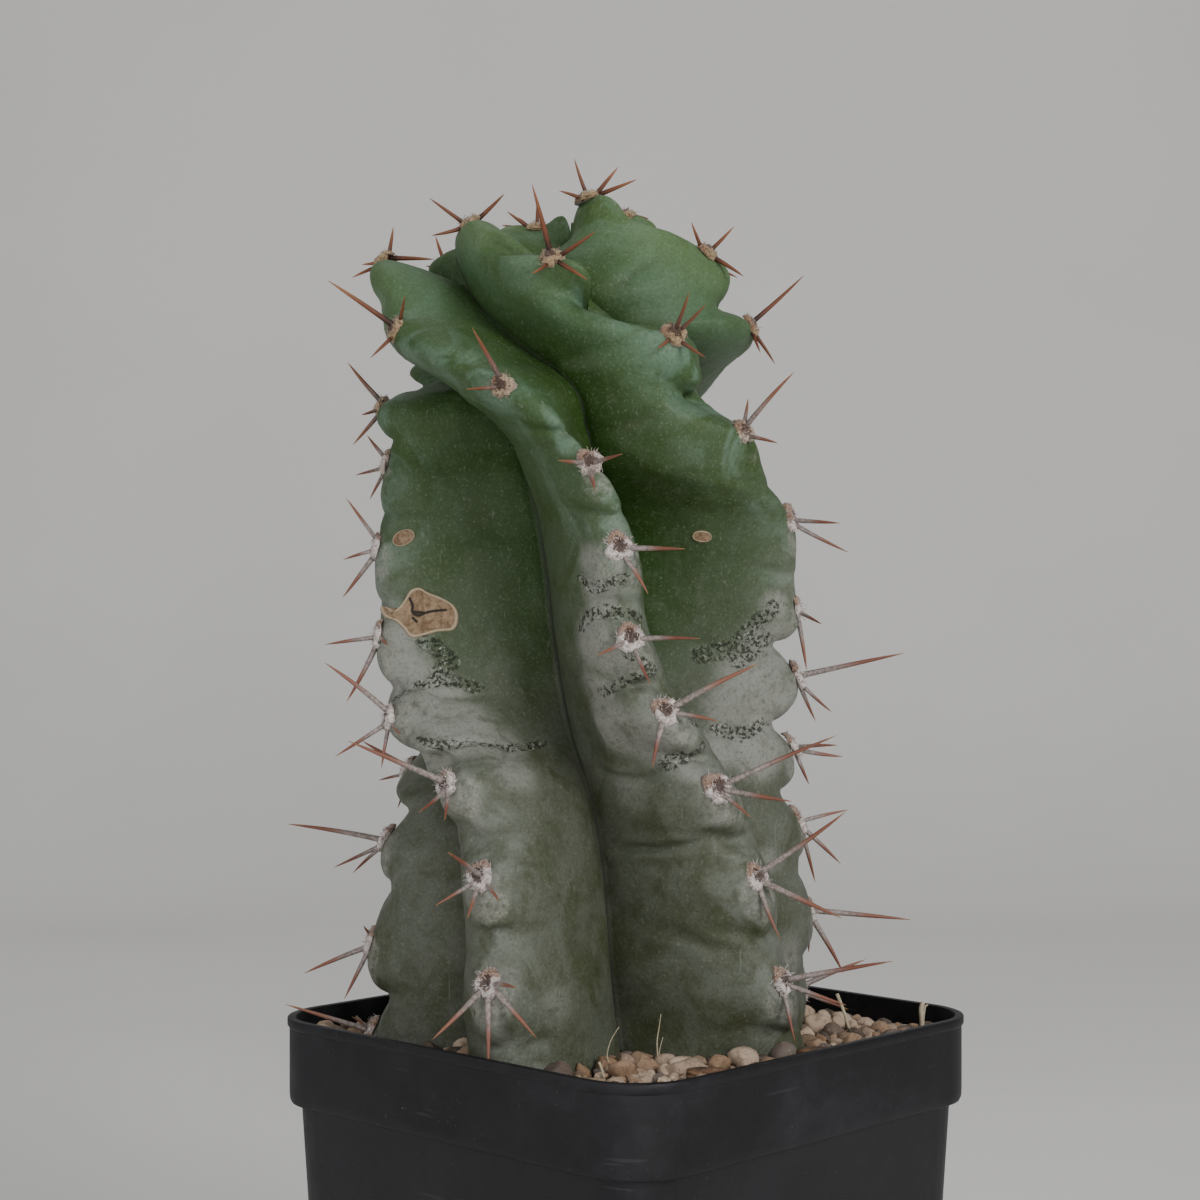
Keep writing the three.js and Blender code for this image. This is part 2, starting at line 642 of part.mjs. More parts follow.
// A flat chip of bark with worn corners, lying on the mix, grown by a margin.
function chipGeometry({ right, toward, turn, long, wide, thick }, grow = 0) {
  const outline = new THREE.Shape();
  outline.moveTo(-long / 2, -wide * 0.2);
  outline.lineTo(-long * 0.2, -wide / 2);
  outline.lineTo(long * 0.38, -wide * 0.4);
  outline.lineTo(long / 2, wide * 0.05);
  outline.lineTo(long * 0.15, wide / 2);
  outline.lineTo(-long * 0.4, wide * 0.35);
  const bevel = 0.5;
  const chip = new THREE.ExtrudeGeometry(outline, {
    depth: thick - 2 * bevel,
    bevelThickness: bevel + grow,
    bevelSize: bevel + grow,
    bevelOffset: -bevel,
    bevelSegments: 1,
  });
  const { x, y } = seenPlace(right, toward);
  return chip
    .rotateZ(deg(VIEW_TURN + turn))
    .translate(x, y, POT_HEIGHT + MIX_LEVEL + GAP + bevel);
}

// One stone of the grit: a faceted pebble of uneven sizes
function grain(x, y, radius, draw) {
  const stone = new THREE.IcosahedronGeometry(radius, 0);
  stone.rotateX(draw(0, 3)).rotateZ(draw(0, 3));
  stone.scale(draw(0.85, 1.25), draw(0.75, 1), draw(0.65, 0.9));
  stone.rotateZ(draw(0, 6));
  stone.translate(x, y, POT_HEIGHT + MIX_LEVEL + radius * (draw(0.1, 0.5) - GRAIN_SINK));
  return solid(stone);
}

// The soil block with grit all over the top, cut clear of the stem and its lowest spines.
function makeMix() {
  const draw = drawFrom(21);
  const inner = innerRings(GAP);
  const [half, corner] = inner[inner.length - 1];
  const top = POT_HEIGHT + MIX_LEVEL;
  const rings = [...inner.slice(0, -1), [half, corner, top]].map((ring) => squareRing(...ring));
  const middle = (level) => new THREE.Vector3(0, 0, level);
  let mix = solid(loft(rings, middle(FLOOR + GAP), middle(top)));
  const chips = CHIPS.map(({ right, toward, long }) => ({
    ...seenPlace(right, toward),
    radius: long * 0.42,
  }));
  const placed = [];
  for (let i = 0; i < GRAIN_TRIES && placed.length < GRAIN_MOST; i++) {
    const radius = draw(GRAIN_SMALL, GRAIN_LARGE);
    const most = half - radius * 1.3;
    const x = draw(-most, most);
    const y = draw(-most, most);
    const outside = Math.hypot(
      Math.max(Math.abs(x) - (half - corner), 0),
      Math.max(Math.abs(y) - (half - corner), 0),
    );
    const far = [...placed, ...chips].every(
      (other) => Math.hypot(other.x - x, other.y - y) > 0.86 * (other.radius + radius),
    );
    const inPot = outside < corner - radius * 1.3;
    if (far && inPot && !underStem(x, y, radius)) placed.push({ x, y, radius });
  }
  for (const { x, y, radius } of placed) mix = mix.add(grain(x, y, radius, draw));
  let room = skin(3 * GAP);
  for (const body of areoles(20, GAP)) room = room.add(body);
  for (const chip of CHIPS) room = room.add(solid(chipGeometry(chip, GAP)));
  return mix.subtract(room);
}

// True where a grain would lie wholly under the ribs' feet.
function underStem(x, y, radius) {
  const foot = skinRow(RIBS[0].areoles[0][0], 0);
  const middle = stemPoint(STEM_FOOT, 0, 0);
  const angle = Math.atan2(y - middle.y, x - middle.x);
  const near = foot.reduce((best, point) => {
    const off = (p) => {
      const turn = Math.atan2(p.y - middle.y, p.x - middle.x) - angle;
      return Math.abs(Math.atan2(Math.sin(turn), Math.cos(turn)));
    };
    return off(point) < off(best) ? point : best;
  });
  const reach = Math.hypot(near.x - middle.x, near.y - middle.y);
  return Math.hypot(x - middle.x, y - middle.y) < reach + radius * 0.3;
}

function makeStem() {
  let stem = skin(0);
  for (const body of areoles(Infinity, 0)) stem = stem.add(body);
  return stem;
}

// A named mesh of a solid or a geometry
function node(name, shape, colour, roughness) {
  let geometry = shape;
  if (!shape.isBufferGeometry) {
    const mesh = shape.getMesh();
    const position = new THREE.BufferAttribute(new Float32Array(mesh.vertProperties), 3);
    geometry = new THREE.BufferGeometry().setAttribute("position", position);
    geometry.setIndex(new THREE.BufferAttribute(new Uint32Array(mesh.triVerts), 1));
    geometry.computeVertexNormals();
  }
  const material = new THREE.MeshStandardMaterial({ color: colour, roughness, metalness: 0 });
  const made = new THREE.Mesh(geometry, material);
  made.name = name;
  return made;
}

const group = new THREE.Group();
group.add(node("pot", makePot(), 0x1a1b1e, 0.7));
group.add(node("potting_mix", makeMix(), 0x8b7966, 0.95));
group.add(node("stem", makeStem(), 0x55704f, 0.6));
for (const chip of CHIPS) group.add(node(chip.name, chipGeometry(chip), 0x4a3425, 0.9));

export default group;
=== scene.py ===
"""The looks of a potted spiral cactus: its skin, areoles and spines, its grit, its pot and the
plain studio it stands in. Shapes are worked out in millimetres in the row's frame, with +Z up,
and become metres when they turn into meshes."""

import math

import bpy
import numpy as np
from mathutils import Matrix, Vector
from mathutils.bvhtree import BVHTree


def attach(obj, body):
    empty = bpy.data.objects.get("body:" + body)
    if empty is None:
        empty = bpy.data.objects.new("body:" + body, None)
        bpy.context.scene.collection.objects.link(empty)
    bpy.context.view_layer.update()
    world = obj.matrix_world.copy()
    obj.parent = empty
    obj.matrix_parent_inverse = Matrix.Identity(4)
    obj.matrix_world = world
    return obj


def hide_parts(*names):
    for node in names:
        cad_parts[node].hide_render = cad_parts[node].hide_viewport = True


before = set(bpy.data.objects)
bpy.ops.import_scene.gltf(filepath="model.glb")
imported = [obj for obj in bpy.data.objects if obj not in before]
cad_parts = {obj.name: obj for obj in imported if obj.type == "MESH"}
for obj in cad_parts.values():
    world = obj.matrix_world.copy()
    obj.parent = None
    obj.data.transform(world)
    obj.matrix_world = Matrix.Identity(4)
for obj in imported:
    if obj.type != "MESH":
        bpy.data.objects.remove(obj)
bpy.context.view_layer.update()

MM = 0.001
PI = math.pi

# The view: the plant shows its face along the diagonal VIEW_TURN, and the camera stands level
# on that side. Pixels are those of a picture 1200 pixels wide and high.
VIEW_TURN = math.radians(43.8)
RIGHT = np.array([math.cos(VIEW_TURN), math.sin(VIEW_TURN), 0.0])
TOWARD = np.array([math.sin(VIEW_TURN), -math.cos(VIEW_TURN), 0.0])
UP = np.array([0.0, 0.0, 1.0])
PICTURE = 1200
FOCAL_PIXELS = 2300
CAMERA_DISTANCE = 445.0
CAMERA_HEIGHT = 170.0
CAMERA_SHIFT = -5.1
EYE = TOWARD * CAMERA_DISTANCE + RIGHT * CAMERA_SHIFT + UP * CAMERA_HEIGHT

# The pot: half widths are measured to the middle of a wall's outer face.
POT_HEIGHT = 90.0
POT_HALF_TOP = 50.0
POT_HALF_BASE = 43.8
POT_CORNER_TOP = 13.0
POT_CORNER_BASE = 10.0
WALL = 1.1
FLOOR = 1.6
BAND_HEIGHT = 16.5
BAND_STEP = 2.2
LIP_HEIGHT = 1.6
LIP_OUT = 0.4
CORNER_STEPS = 14
DRAIN_RADIUS = 4.0
DRAIN_CORNER = 28.0
DRAIN_SIDE = 33.0

# The mix: its level is a height above the rim.
MIX_LEVEL = -5.0
GAP = 0.3

# The stem: stations are heights above the rim up to DOME_START, and from there they run on
# round a dome of DOME_RADIUS to its top. Turns are in degrees from VIEW_TURN, positive to the
# right. A place is counted in areoles from the soil.
DOME_START = 120.0
DOME_RADIUS = 38.0
APEX_REACH = 30.0
CREST_ROUND = 6.3
CREST_CORE = 12.0
MOST_SLANT = 1.8
FIRST_PLACE = 1 / 6
LAST_PLACE = 12.0
STUB_DEPTH = 12.0
STUB_SHARE = 0.6
LEVEL_RANGE = 160.0
ROWS_PER_AREOLE = 36
STEPS_PER_FLANK = 20
AREOLE_RECESS = 0.5
SHALLOW_GAP = math.radians(25)
DEEP_GAP = math.radians(90)
SHALLOW_DEPTH = 2.0
MOST_ROUND = 0.45
FOOT_HANDLE = 0.55
TOP_HANDLE = 0.75
CORE_PER_DIP = 1.25
NOTCH_BEND = 1.2
BELLY = 0.7
ROUNDING = 1e-6
SLANT_STEP = 0.25

# A crest's dip fades over DIP_REACH of its flank. On the right flanks of the crown, between the
# two places, it keeps its depth for a share of the way, and then reaches further down.
DIP_REACH = 0.62
CROWN_DIP_KEEP = 0.4
CROWN_DIP_REACH = 1.1
CROWN_PLACES = (7.6, 8.6)
CREASE_CURL = 0.3

# The rib whose left flank keeps its bloom down to the furrow, with no deeper green or painted shade
# there
PALE_FLANK = 2

# The skin's relief: soft swells by their height, size and seed, a ripple and a groove from
# notch to notch, and a sharp line along the bottom of a furrow.
SWELLS = ((0.4, 22, 3), (0.2, 7, 5))
RIPPLE_HEIGHT = 0.22
GROOVE_DEPTH = 0.4
GROOVE_WIDTH = 1 / 15
LINE_DEPTH = 0.5
LINE_START = 0.97

# The lip along a crease, as shares of the crease's own width and depth
LIP_PLACE = 2.2
LIP_WIDTH = 1.2
LIP_SHARE = 0.25

# The cork below an areole, which fades over a range of places, and the seat under its wool
CORK_PLACES = (6.2, 8.4)
CORK_DROP = 3.5
CORK_REACH = (2.5, 9.5)
CORK_LEAST = 0.15
SEAT_DEPTH = 0.35
SEAT_REACH = 2.6

# Areoles and spines
PAD_RADIUS = 2.7
PAD_HEIGHT = 1.3
SPINE_RADIUS = 0.52

# How far the stem's axis stands to the right of the pot's middle, by station.
LEAN = [[-6, -6.5], [30, -7.2], [72, -8], [105, -10.5], [120, -12], [150, -11], [180, -10.5]]

# How far the bottoms of the furrows lie from the axis, by station.
FURROW = [
    [-6, 15], [25, 11.5], [60, 10.5], [108, 12], [125, 17], [140, 20], [160, 23], [172, 26],
    [180, 29.5],
]

# How far a crest dips at the notch above each areole, and where that notch lies on the way to
# the next areole, by place.
NOTCH_DEPTH = [
    [0, 3], [2, 3.6], [4, 5.2], [5, 4], [6, 2.2], [7, 2.6], [8, 3], [9, 5], [10, 5], [11, 4],
    [12, 0],
]
NOTCH_SHARE = [[0, 0.45], [4, 0.36], [7, 0.4], [9, 0.5], [12, 0.5]]

# The angle at which a flank leaves its furrow, in degrees, and where the furrow lies on the way
# from the rib before it to the rib after it, by place.
FURROW_OPENING = [[0, 26], [3, 34], [6, 40], [8, 36], [10, 28], [12, 24]]
USUAL_SHARES = [[0, 0.5], [6, 0.5], [8, 0.4], [9, 0.34], [12, 0.34]]
FRONT_SHARES = [
    [0, 0.5], [5, 0.46], [6, 0.36], [7, 0.14], [7.5, 0.2], [8, 0.36], [9, 0.48], [10, 0.5],
    [12, 0.5],
]
FURROW_SHARES = [USUAL_SHARES, USUAL_SHARES, FRONT_SHARES, USUAL_SHARES, USUAL_SHARES]

# The ribs in order of turn. Every row is an areole: its place, station, turn and reach from the
# axis, and its spines, each the way from the areole to the tip: right, up and toward the viewer.
# A row with None has the usual set, and a row of four entries is an end of the rib or only turns
# the crest. A last entry gives the share and depth of the notch above, where it isn't the tables'
# own.
RIBS = [
    [
        [1 / 6, -4.7, -88, 43.5],
        [1 / 3, -3, -89, 43.2, [[-16.5, 5.5, 2], [-4, 3, 2]], [0.42, 5]],
        [4 / 3, 14, -90, 43.2, [[-13, -5.4, 2], [-4.8, -10.6, 3], [-1.7, 3.3, 2]], [0.57, 4]],
        [7 / 3, 33.5, -95, 40.2, [[-19.3, 3.3, 1], [-10.4, -5, 2], [-6.4, -6.2, 3]], [0.42, 6]],
        [10 / 3, 46, -115, 40, [[-7, -2, -3], [-3, -8, -3], [-11, 5, -11]]],
        [13 / 3, 61, -135, 40, None],
        [16 / 3, 77, -150, 40, None],
        [19 / 3, 93, -160, 40, None],
        [22 / 3, 109, -172, 40, None],
        [25 / 3, 124, -195, 39, None],
        [28 / 3, 138, -225, 38, [[3, 1, -11], [8, -2, -5], [-6, -3, -7]]],
        [31 / 3, 152, -255, 38, [[4, -1, -11], [9, -4, -4], [-2, -6, -7]]],
        [34 / 3, 168, -290, 36, [[5, 0, -6], [1, 3, -6], [-5, -1, -5]]],
        [12, 179.7, -330, 30],
    ],
    [
        [1 / 6, -4.7, -24, 43.5],
        [1, 12.5, -25, 43.5, [[-9.5, -9, 5], [0.4, -14.5, 5], [9, -9, 5], [5, 0.5, 8]]],
        [2, 31, -28, 41.8, [[-5, 5.5, 12], [-7.7, -4.3, 5], [3.8, -3.6, 7], [-2, -6.6, 6]]],
        [3, 47, -39, 41, [[-17, 8, 7], [-4.7, -4, 9], [0, -6, 6]]],
        [4, 58.2, -66, 41, [[-12, 10, 4], [-10, -6.7, 4], [-1, -9.3, 3], [3, -3, 5]], [0.4, 3]],
        [5, 73.4, -80, 40.5, [[-10, -1.5, 4], [-6, -12.5, 2], [3, -2, 6]], [0.4, 1.4]],
        [6, 90.3, -85, 39.5, [[-6, 9, 4], [-6.5, -2.3, 4], [-6.7, -9.6, 1]], [0.4, 1.6]],
        [7, 106.4, -92, 36.5, [[-6.2, -2, 3], [-3, -7, 3], [-5, 6, -6]], [0.4, 2.4]],
        [8, 118, -100, 37, [[-7, 8.4, 2], [-4, -1.8, 3], [-6, -7.4, 0]], [0.4, 9]],
        [9, 131, -135, 37, [[-6, 1, -9], [-8, -4, -3], [1, -3, -10]]],
        [10, 144, -172, 38, [[-3, 0, -12], [-8, -3, -6], [5, -3, -8]]],
        [11, 158, -212, 37, [[2, 1, -9], [-5, -1, -7], [6, -2, -6]]],
        [12, 179.7, -255, 30],
    ],
    [
        [1 / 6, -4.7, 66, 43.5],
        [1, 10.5, 55, 43.5, [[19.5, 4.5, 6], [11.5, -3.7, 3], [2, -11, 3]]],
        [2, 30, 47.5, 42, [[16, 12, 4], [15, -6.5, 6], [4, -11, 3]]],
        [3, 46.5, 35.5, 41, [[21, 9.5, 3], [12.8, -1.8, 6], [5.6, -4.5, 6]]],
        [4, 60.5, 20.5, 41, [[16, 8.5, 6], [9, -1.5, 5], [-2.5, -10, 4]]],
        [5, 73.5, 12, 40.8, [[12, 0, 6], [-5.7, -2.7, 9], [3.4, -8, 5]]],
        [6, 89.5, 10.8, 40.5, [[11.3, -0.4, 6], [5, -8.3, 5]]],
        [7, 104.4, 4.9, 40.2, [[5.5, 1, 9], [-5, 0, 8], [1, -5, 8]]],
        [8, 118, -15.5, 40, [[-5, 9, 8], [-6, -1, 6]], [0.45, 2]],
        [9, 130.4, -59, 38.5, [[-12, 8, 6], [2, 5.5, 5], [-4.5, -5.5, 4]], [0.45, 2.5]],
        [10, 143.9, -95, 45, [[1.4, 6.6, 1], [-4.3, -1, 2], [-6.6, -3, -1], [10, -1, 4]], [0.5, 5]],
        [10.45, 145.8, -108, 33],
        [11, 148, -122, 41, [[-4, 1, -4], [-2, 6, -1]]],
        [12, 179.7, -160, 30],
    ],
    [
        [1 / 6, -4.7, 112, 44],
        [0.5, 2.5, 110, 45, [[13.4, 5, -3], [10, -4, 0]]],
        [1.5, 19.3, 103, 44.8, [[20.6, -2.2, -1], [7.1, -13, 0], [0, -9.6, -3]], [0.55, 3]],
        [2.5, 37, 97, 42, [[10.4, 2, -4], [8.4, -8.4, 0], [3, -12.7, -2]], [0.36, 5]],
        [3.5, 52, 93, 40.3, [[8.8, 0.6, 4], [10.5, -2, -2], [3, -8, 0]], [0.3, 6.5]],
        [4.5, 65.5, 92, 41.5, [[20.6, 4.5, 2], [7, -7, 2], [3.5, -9, 0]], [0.5, 6.5]],
        [5.5, 78.6, 91, 42, [[4.7, -3, 6], [1.6, -12.2, 1], [3, -2, -6]], [0.4, 1]],
        [6.5, 95.7, 82, 42, [[9.3, -0.8, 4], [11.4, -6.2, 1]], [0.4, 1.5]],
        [7, 103, 65, 39.8],
        [7.5, 111, 55, 40.2, [[9.1, 10.4, 5], [1, 6.3, -3], [6, -2, 5]], [0.4, 9]],
        [8.2, 122.5, 37.5, 38],
        [8.5, 128, 33, 38.5, [[2.5, 6.7, 6], [5.4, 5, 4], [5.4, -4.5, 5], [-3, -3, 6]], [0.66, 17]],
        [
            9.5, 143.2, -5, 38.5, [[-3.4, 12.4, 5], [7.8, 4, 6], [6.7, -5, 5], [-3.4, -3.5, 6]],
            [0.4, 4.5],
        ],
        [10.5, 156.5, -60, 38.5, [[-7.4, 4.8, 3], [6.5, 5.6, 1], [-7, -2.8, 4]]],
        [11.5, 169.7, -130, 34.5, [[-7, 1, -1], [-5.7, 3.7, 1], [-3.5, 3.3, -3], [0, 6, -1]]],
        [11.8, 176, -150, 35],
        [12, 179.7, -165, 30],
    ],
    [
        [1 / 6, -4.7, 192, 43],
        [1, 11, 190, 43, None],
        [2, 29, 184, 42, None],
        [3, 46, 180, 41, None],
        [4, 61, 175, 41, None],
        [5, 75, 170, 41, None],
        [6, 90, 166, 41, None],
        [7, 105, 160, 40, None],
        [8, 119, 148, 39, None],
        [8.5, 126.5, 124, 38.5],
        [
            9, 133.3, 90, 38.7, [[10.6, 9.7, 0], [4.6, -7.5, 1], [1.4, -5.6, 3], [-0.4, 3, -4]],
            [0.42, 7],
        ],
        [10, 149.2, 75, 38.5, [[-2.8, 5.3, 4], [5, 4.9, 1], [6.8, -5, 2]], [0.62, 4]],
        [11, 173, 30, 38, [[-2.7, 7.5, 1], [5.4, 6.1, 1], [9.2, 3, 2], [-5.6, 1.1, 3]]],
        [12, 179.7, -20, 30],
    ],
]
USUAL_SPINES = [[3, 7, 15], [-8, -4, 6], [7.5, -5, 6], [0.5, -10, 5]]


# Small helpers

def smooth(x, low, high):
    t = np.clip((x - low) / (high - low), 0, 1)
    return t * t * (3 - 2 * t)


def mix(a, b, share):
    return a + (b - a) * share
def turned(points, angle):
    """Points turned round the vertical axis."""
    c, s = math.cos(angle), math.sin(angle)
    return np.asarray(points, float) @ np.array([[c, s, 0], [-s, c, 0], [0, 0, 1]])

def unit(v):
    return v / np.maximum(np.linalg.norm(v, axis=-1, keepdims=True), 1e-9)


def along(rows, x, column=1):
    """A smooth curve through the rows of a table, whose first column is the place."""
    xs = np.array([row[0] for row in rows], float)
    ys = np.array([row[column] for row in rows], float)
    before = np.maximum(np.arange(len(xs)) - 1, 0)
    after = np.minimum(np.arange(len(xs)) + 1, len(xs) - 1)
    slope = (ys[after] - ys[before]) / (xs[after] - xs[before])
    i = np.clip(np.searchsorted(xs, x, side="left") - 1, 0, len(xs) - 2)
    step = xs[i + 1] - xs[i]
    t = np.clip((x - xs[i]) / step, 0, 1)
    start = (1 + 2 * t) * (1 - t) ** 2 * ys[i]
    end = t * t * (3 - 2 * t) * ys[i + 1]
    bend = t * (1 - t) ** 2 * slope[i] - t * t * (1 - t) * slope[i + 1]
    return start + end + bend * step


def waves(points, size, seed, octaves=3):
    """Smooth seeded unevenness between about -1 and 1, in lumps of a size."""
    draw = np.random.default_rng(seed)
    total = np.zeros(points.shape[:-1])
    reach = 0.0
    for octave in range(octaves):
        weight = 0.55**octave
        for _ in range(6):
            way = unit(draw.normal(size=3)) * 2 * PI / size * 1.9**octave * draw.uniform(0.7, 1.3)
            total += weight * np.sin(points @ way + draw.uniform(0, 2 * PI))
        reach += weight * 6**0.5 * 1.3
    return total / reach


# The stem's surface

def elevation(station):
    return np.maximum(station - DOME_START, 0) / DOME_RADIUS


def stem_point(station, turn, reach):
    rise = elevation(station)
    out = reach * np.cos(rise)
    level = POT_HEIGHT + np.minimum(station, DOME_START) + reach * np.sin(rise)
    aside = along(LEAN, station) + out * np.sin(turn)
    return (
        np.multiply.outer(level, UP)
        + np.multiply.outer(aside, RIGHT)
        + np.multiply.outer(out * np.cos(turn), TOWARD)
    )


def dip_at(rib, place):
    """How far a crest dips at a place: deepest in the notch above each areole."""
    phase = rib[2][0] % 1
    share = (place - phase + ROUNDING) % 1
    middle = place - share + 0.5
    notch = along(NOTCH_SHARE, middle)
    depth = along(NOTCH_DEPTH, middle)
    for row in rib:
        if len(row) > 5:
            own = np.abs(middle - 0.5 - row[0]) < 0.01
            notch = np.where(own, row[5][0], notch)
            depth = np.where(own, row[5][1], depth)
    fall = np.clip(share / notch, 0, 1) ** NOTCH_BEND
    fall = AREOLE_RECESS + (depth - AREOLE_RECESS) * fall
    rise = (share - notch) / (1 - notch)
    swell = np.sqrt(np.clip(1 - (1 - np.clip(rise / BELLY, 0, 1)) ** 2, 0, 1))
    recess = AREOLE_RECESS * np.maximum((rise - BELLY) / (1 - BELLY), 0) ** 2
    return np.where(share < notch, fall, depth * (1 - swell) + recess)


def notch_line(rib, place):
    """How far a place lies from the nearest notch, in areoles."""
    phase = rib[2][0] % 1
    share = (place - phase) % 1
    notch = along(NOTCH_SHARE, place - share + 0.5)
    return share - notch


def crest_at(rib, place):
    return along(rib, place, 1), np.radians(along(rib, place, 2)), along(rib, place, 3)


def slant_at(rib, place):
    """How much wider a level cut through a rib is than the rib, because it climbs at a slant."""
    below, above = place - SLANT_STEP, place + SLANT_STEP
    rise = along(rib, above) - along(rib, below)
    swing = np.radians(along(rib, above, 2) - along(rib, below, 2))
    across = swing * along(rib, place, 3) * np.cos(elevation(along(rib, place)))
    return np.minimum(np.hypot(rise, across) / np.maximum(rise, 1), MOST_SLANT)


def flank(rib, other, lap, shares, side, place, share):
    """Points of one flank for columns of places and rows of shares, 0 at the crest and 1 in the
    furrow, with what the skin's look needs to know of each point."""
    station, turn, reach = (v[:, None] for v in crest_at(rib, place))
    next_station, next_turn, next_reach = (v[:, None] for v in crest_at(other, place))
    place = place[:, None]
    gap = np.abs(next_turn + lap - turn)
    near = along(shares, place)
    part = near if side > 0 else 1 - near
    width = gap * part
    low = mix(station, next_station, part)
    rise = elevation(low)
    depth = smooth(gap, SHALLOW_GAP, DEEP_GAP)
    furrow = mix((reach + next_reach) / 2 - SHALLOW_DEPTH, along(FURROW, low), depth)
    round_ = np.minimum(CREST_ROUND * slant_at(rib, place), reach * width * MOST_ROUND)
    wall = width - np.radians(along(FURROW_OPENING, place))
    handle = (reach - furrow) * mix(FOOT_HANDLE, TOP_HANDLE, np.sin(rise))
    x = [reach, reach, furrow * np.cos(width) + handle * np.cos(wall), furrow * np.cos(width)]
    y = [0 * reach, round_, furrow * np.sin(width) + handle * np.sin(wall), furrow * np.sin(width)]
    t = share[None, :]
    weights = [(1 - t) ** 3, 3 * t * (1 - t) ** 2, 3 * t * t * (1 - t), t**3]
    flat_x = sum(w * v for w, v in zip(weights, x))
    flat_y = sum(w * v for w, v in zip(weights, y))
    curl = CREASE_CURL * t**2
    fine = np.linspace(-0.5, 0.5, 9)
    spread = 0.04 + 1.4 * t
    bell = np.exp(-0.5 * (fine / 0.22) ** 2)
    dip = sum(b * dip_at(rib, place - curl + f * spread) for f, b in zip(fine, bell)) / bell.sum()
    crown = smooth(place, *CROWN_PLACES) if side > 0 else 0
    dip = dip * (1 - smooth(t, CROWN_DIP_KEEP * crown, mix(DIP_REACH, CROWN_DIP_REACH, crown)))
    core = reach - np.maximum(CREST_CORE, CORE_PER_DIP * dip)
    length = np.maximum(np.hypot(core - flat_x, flat_y), 1e-6)
    flat_x = flat_x + dip * (core - flat_x) / length
    flat_y = flat_y - dip * flat_y / length
    where = stem_point(
        mix(station, low, t * t), turn + side * np.arctan2(flat_y, flat_x), np.hypot(flat_x, flat_y)
    )
    notch = notch_line(rib, place - curl)
    return where, np.broadcast_to(notch, where.shape[:2]), np.broadcast_to(t, where.shape[:2])


def skin_grid(rows_per_areole, steps):
    """The whole skin as a grid of points: rows up the stem, columns all round it."""
    count = round((LAST_PLACE - FIRST_PLACE) * rows_per_areole)
    place = FIRST_PLACE + np.arange(count) / rows_per_areole
    even = np.arange(steps + 1) / steps
    share = 0.45 * even + 0.55 * (0.5 - 0.5 * np.cos(PI * even))
    parts = []
    last = len(RIBS) - 1
    for i, rib in enumerate(RIBS):
        back, on = -2 * PI * (i == 0), 2 * PI * (i == last)
        left = flank(rib, RIBS[i - 1], back, FURROW_SHARES[i - 1], -1, place, share)
        right = flank(rib, RIBS[(i + 1) % len(RIBS)], on, FURROW_SHARES[i], 1, place, share)
        sides = zip(left, right)
        parts.append([np.concatenate((l[:, ::-1], r[:, 1:-1]), axis=1) for l, r in sides])
    points, notch, flanks = (np.concatenate(part, axis=1) for part in zip(*parts))
    places = np.broadcast_to(place[:, None], notch.shape)
    return points, notch, flanks, places


def grid_normals(points):
    up = np.gradient(points, axis=0)
    around = np.roll(points, -1, axis=1) - np.roll(points, 1, axis=1)
    return unit(np.cross(around, up))


def grid_faces(rows, columns, base=0):
    """Quads of a grid whose last column joins its first, from a base index on."""
    i = base + np.arange(rows - 1)[:, None] * columns
    j = np.arange(columns)[None, :]
    after = (j + 1) % columns
    quads = np.stack([i + j, i + after, i + columns + after, i + columns + j], axis=-1)
    return quads.reshape(-1, 4).tolist()


def add_object(name, data):
    made = bpy.data.objects.new(name, data)
    bpy.context.scene.collection.objects.link(made)
    return made


def mesh_object(name, points, faces, attributes=None):
    """A smooth mesh object of points in millimetres, with a number for each point by name."""
    mesh = bpy.data.meshes.new(name)
    mesh.from_pydata((np.asarray(points, float) * MM).tolist(), [], faces)
    for key, values in (attributes or {}).items():
        layer = mesh.attributes.new(key, "FLOAT", "POINT")
        layer.data.foreach_set("value", np.asarray(values, np.float32).ravel())
    mesh.polygons.foreach_set("use_smooth", [True] * len(mesh.polygons))
    mesh.update()
    return add_object(name, mesh)


def bvh_of(points, faces):
    return BVHTree.FromPolygons([Vector(p) for p in points], faces)


def sight(px, py):
    """The way from the eye through a pixel."""
    return -TOWARD * FOCAL_PIXELS + RIGHT * (px - PICTURE / 2) - UP * (py - PICTURE / 2)


def seen_at(tree, px, py):
    """Where the line of sight through a pixel meets a surface: the point and its normal."""
    where, normal, _, _ = tree.ray_cast(Vector(EYE), Vector(unit(sight(px, py))))
    if where is None:
        return None, None
    return np.array(where), np.array(normal)


def seen_steps(tree, pixels):
    """The steps of a line of pixels on a surface, each with its number and the count of them."""
    seen = [seen_at(tree, *pixel)[0] for pixel in pixels]
    seen = [p for p in seen if p is not None]
    for k, (a, b) in enumerate(zip(seen, seen[1:])):
        yield k, len(seen) - 1, a, b


def seen_spots(tree, points, spots):
    """For each spot that shows on a surface, the points' distances from it, and its numbers."""
    for px, py, reach, strength in spots:
        where, _ = seen_at(tree, px, py)
        if where is not None:
            yield far_from(points, where), reach, strength


def far_from(points, where):
    return np.linalg.norm(points - where, axis=1)


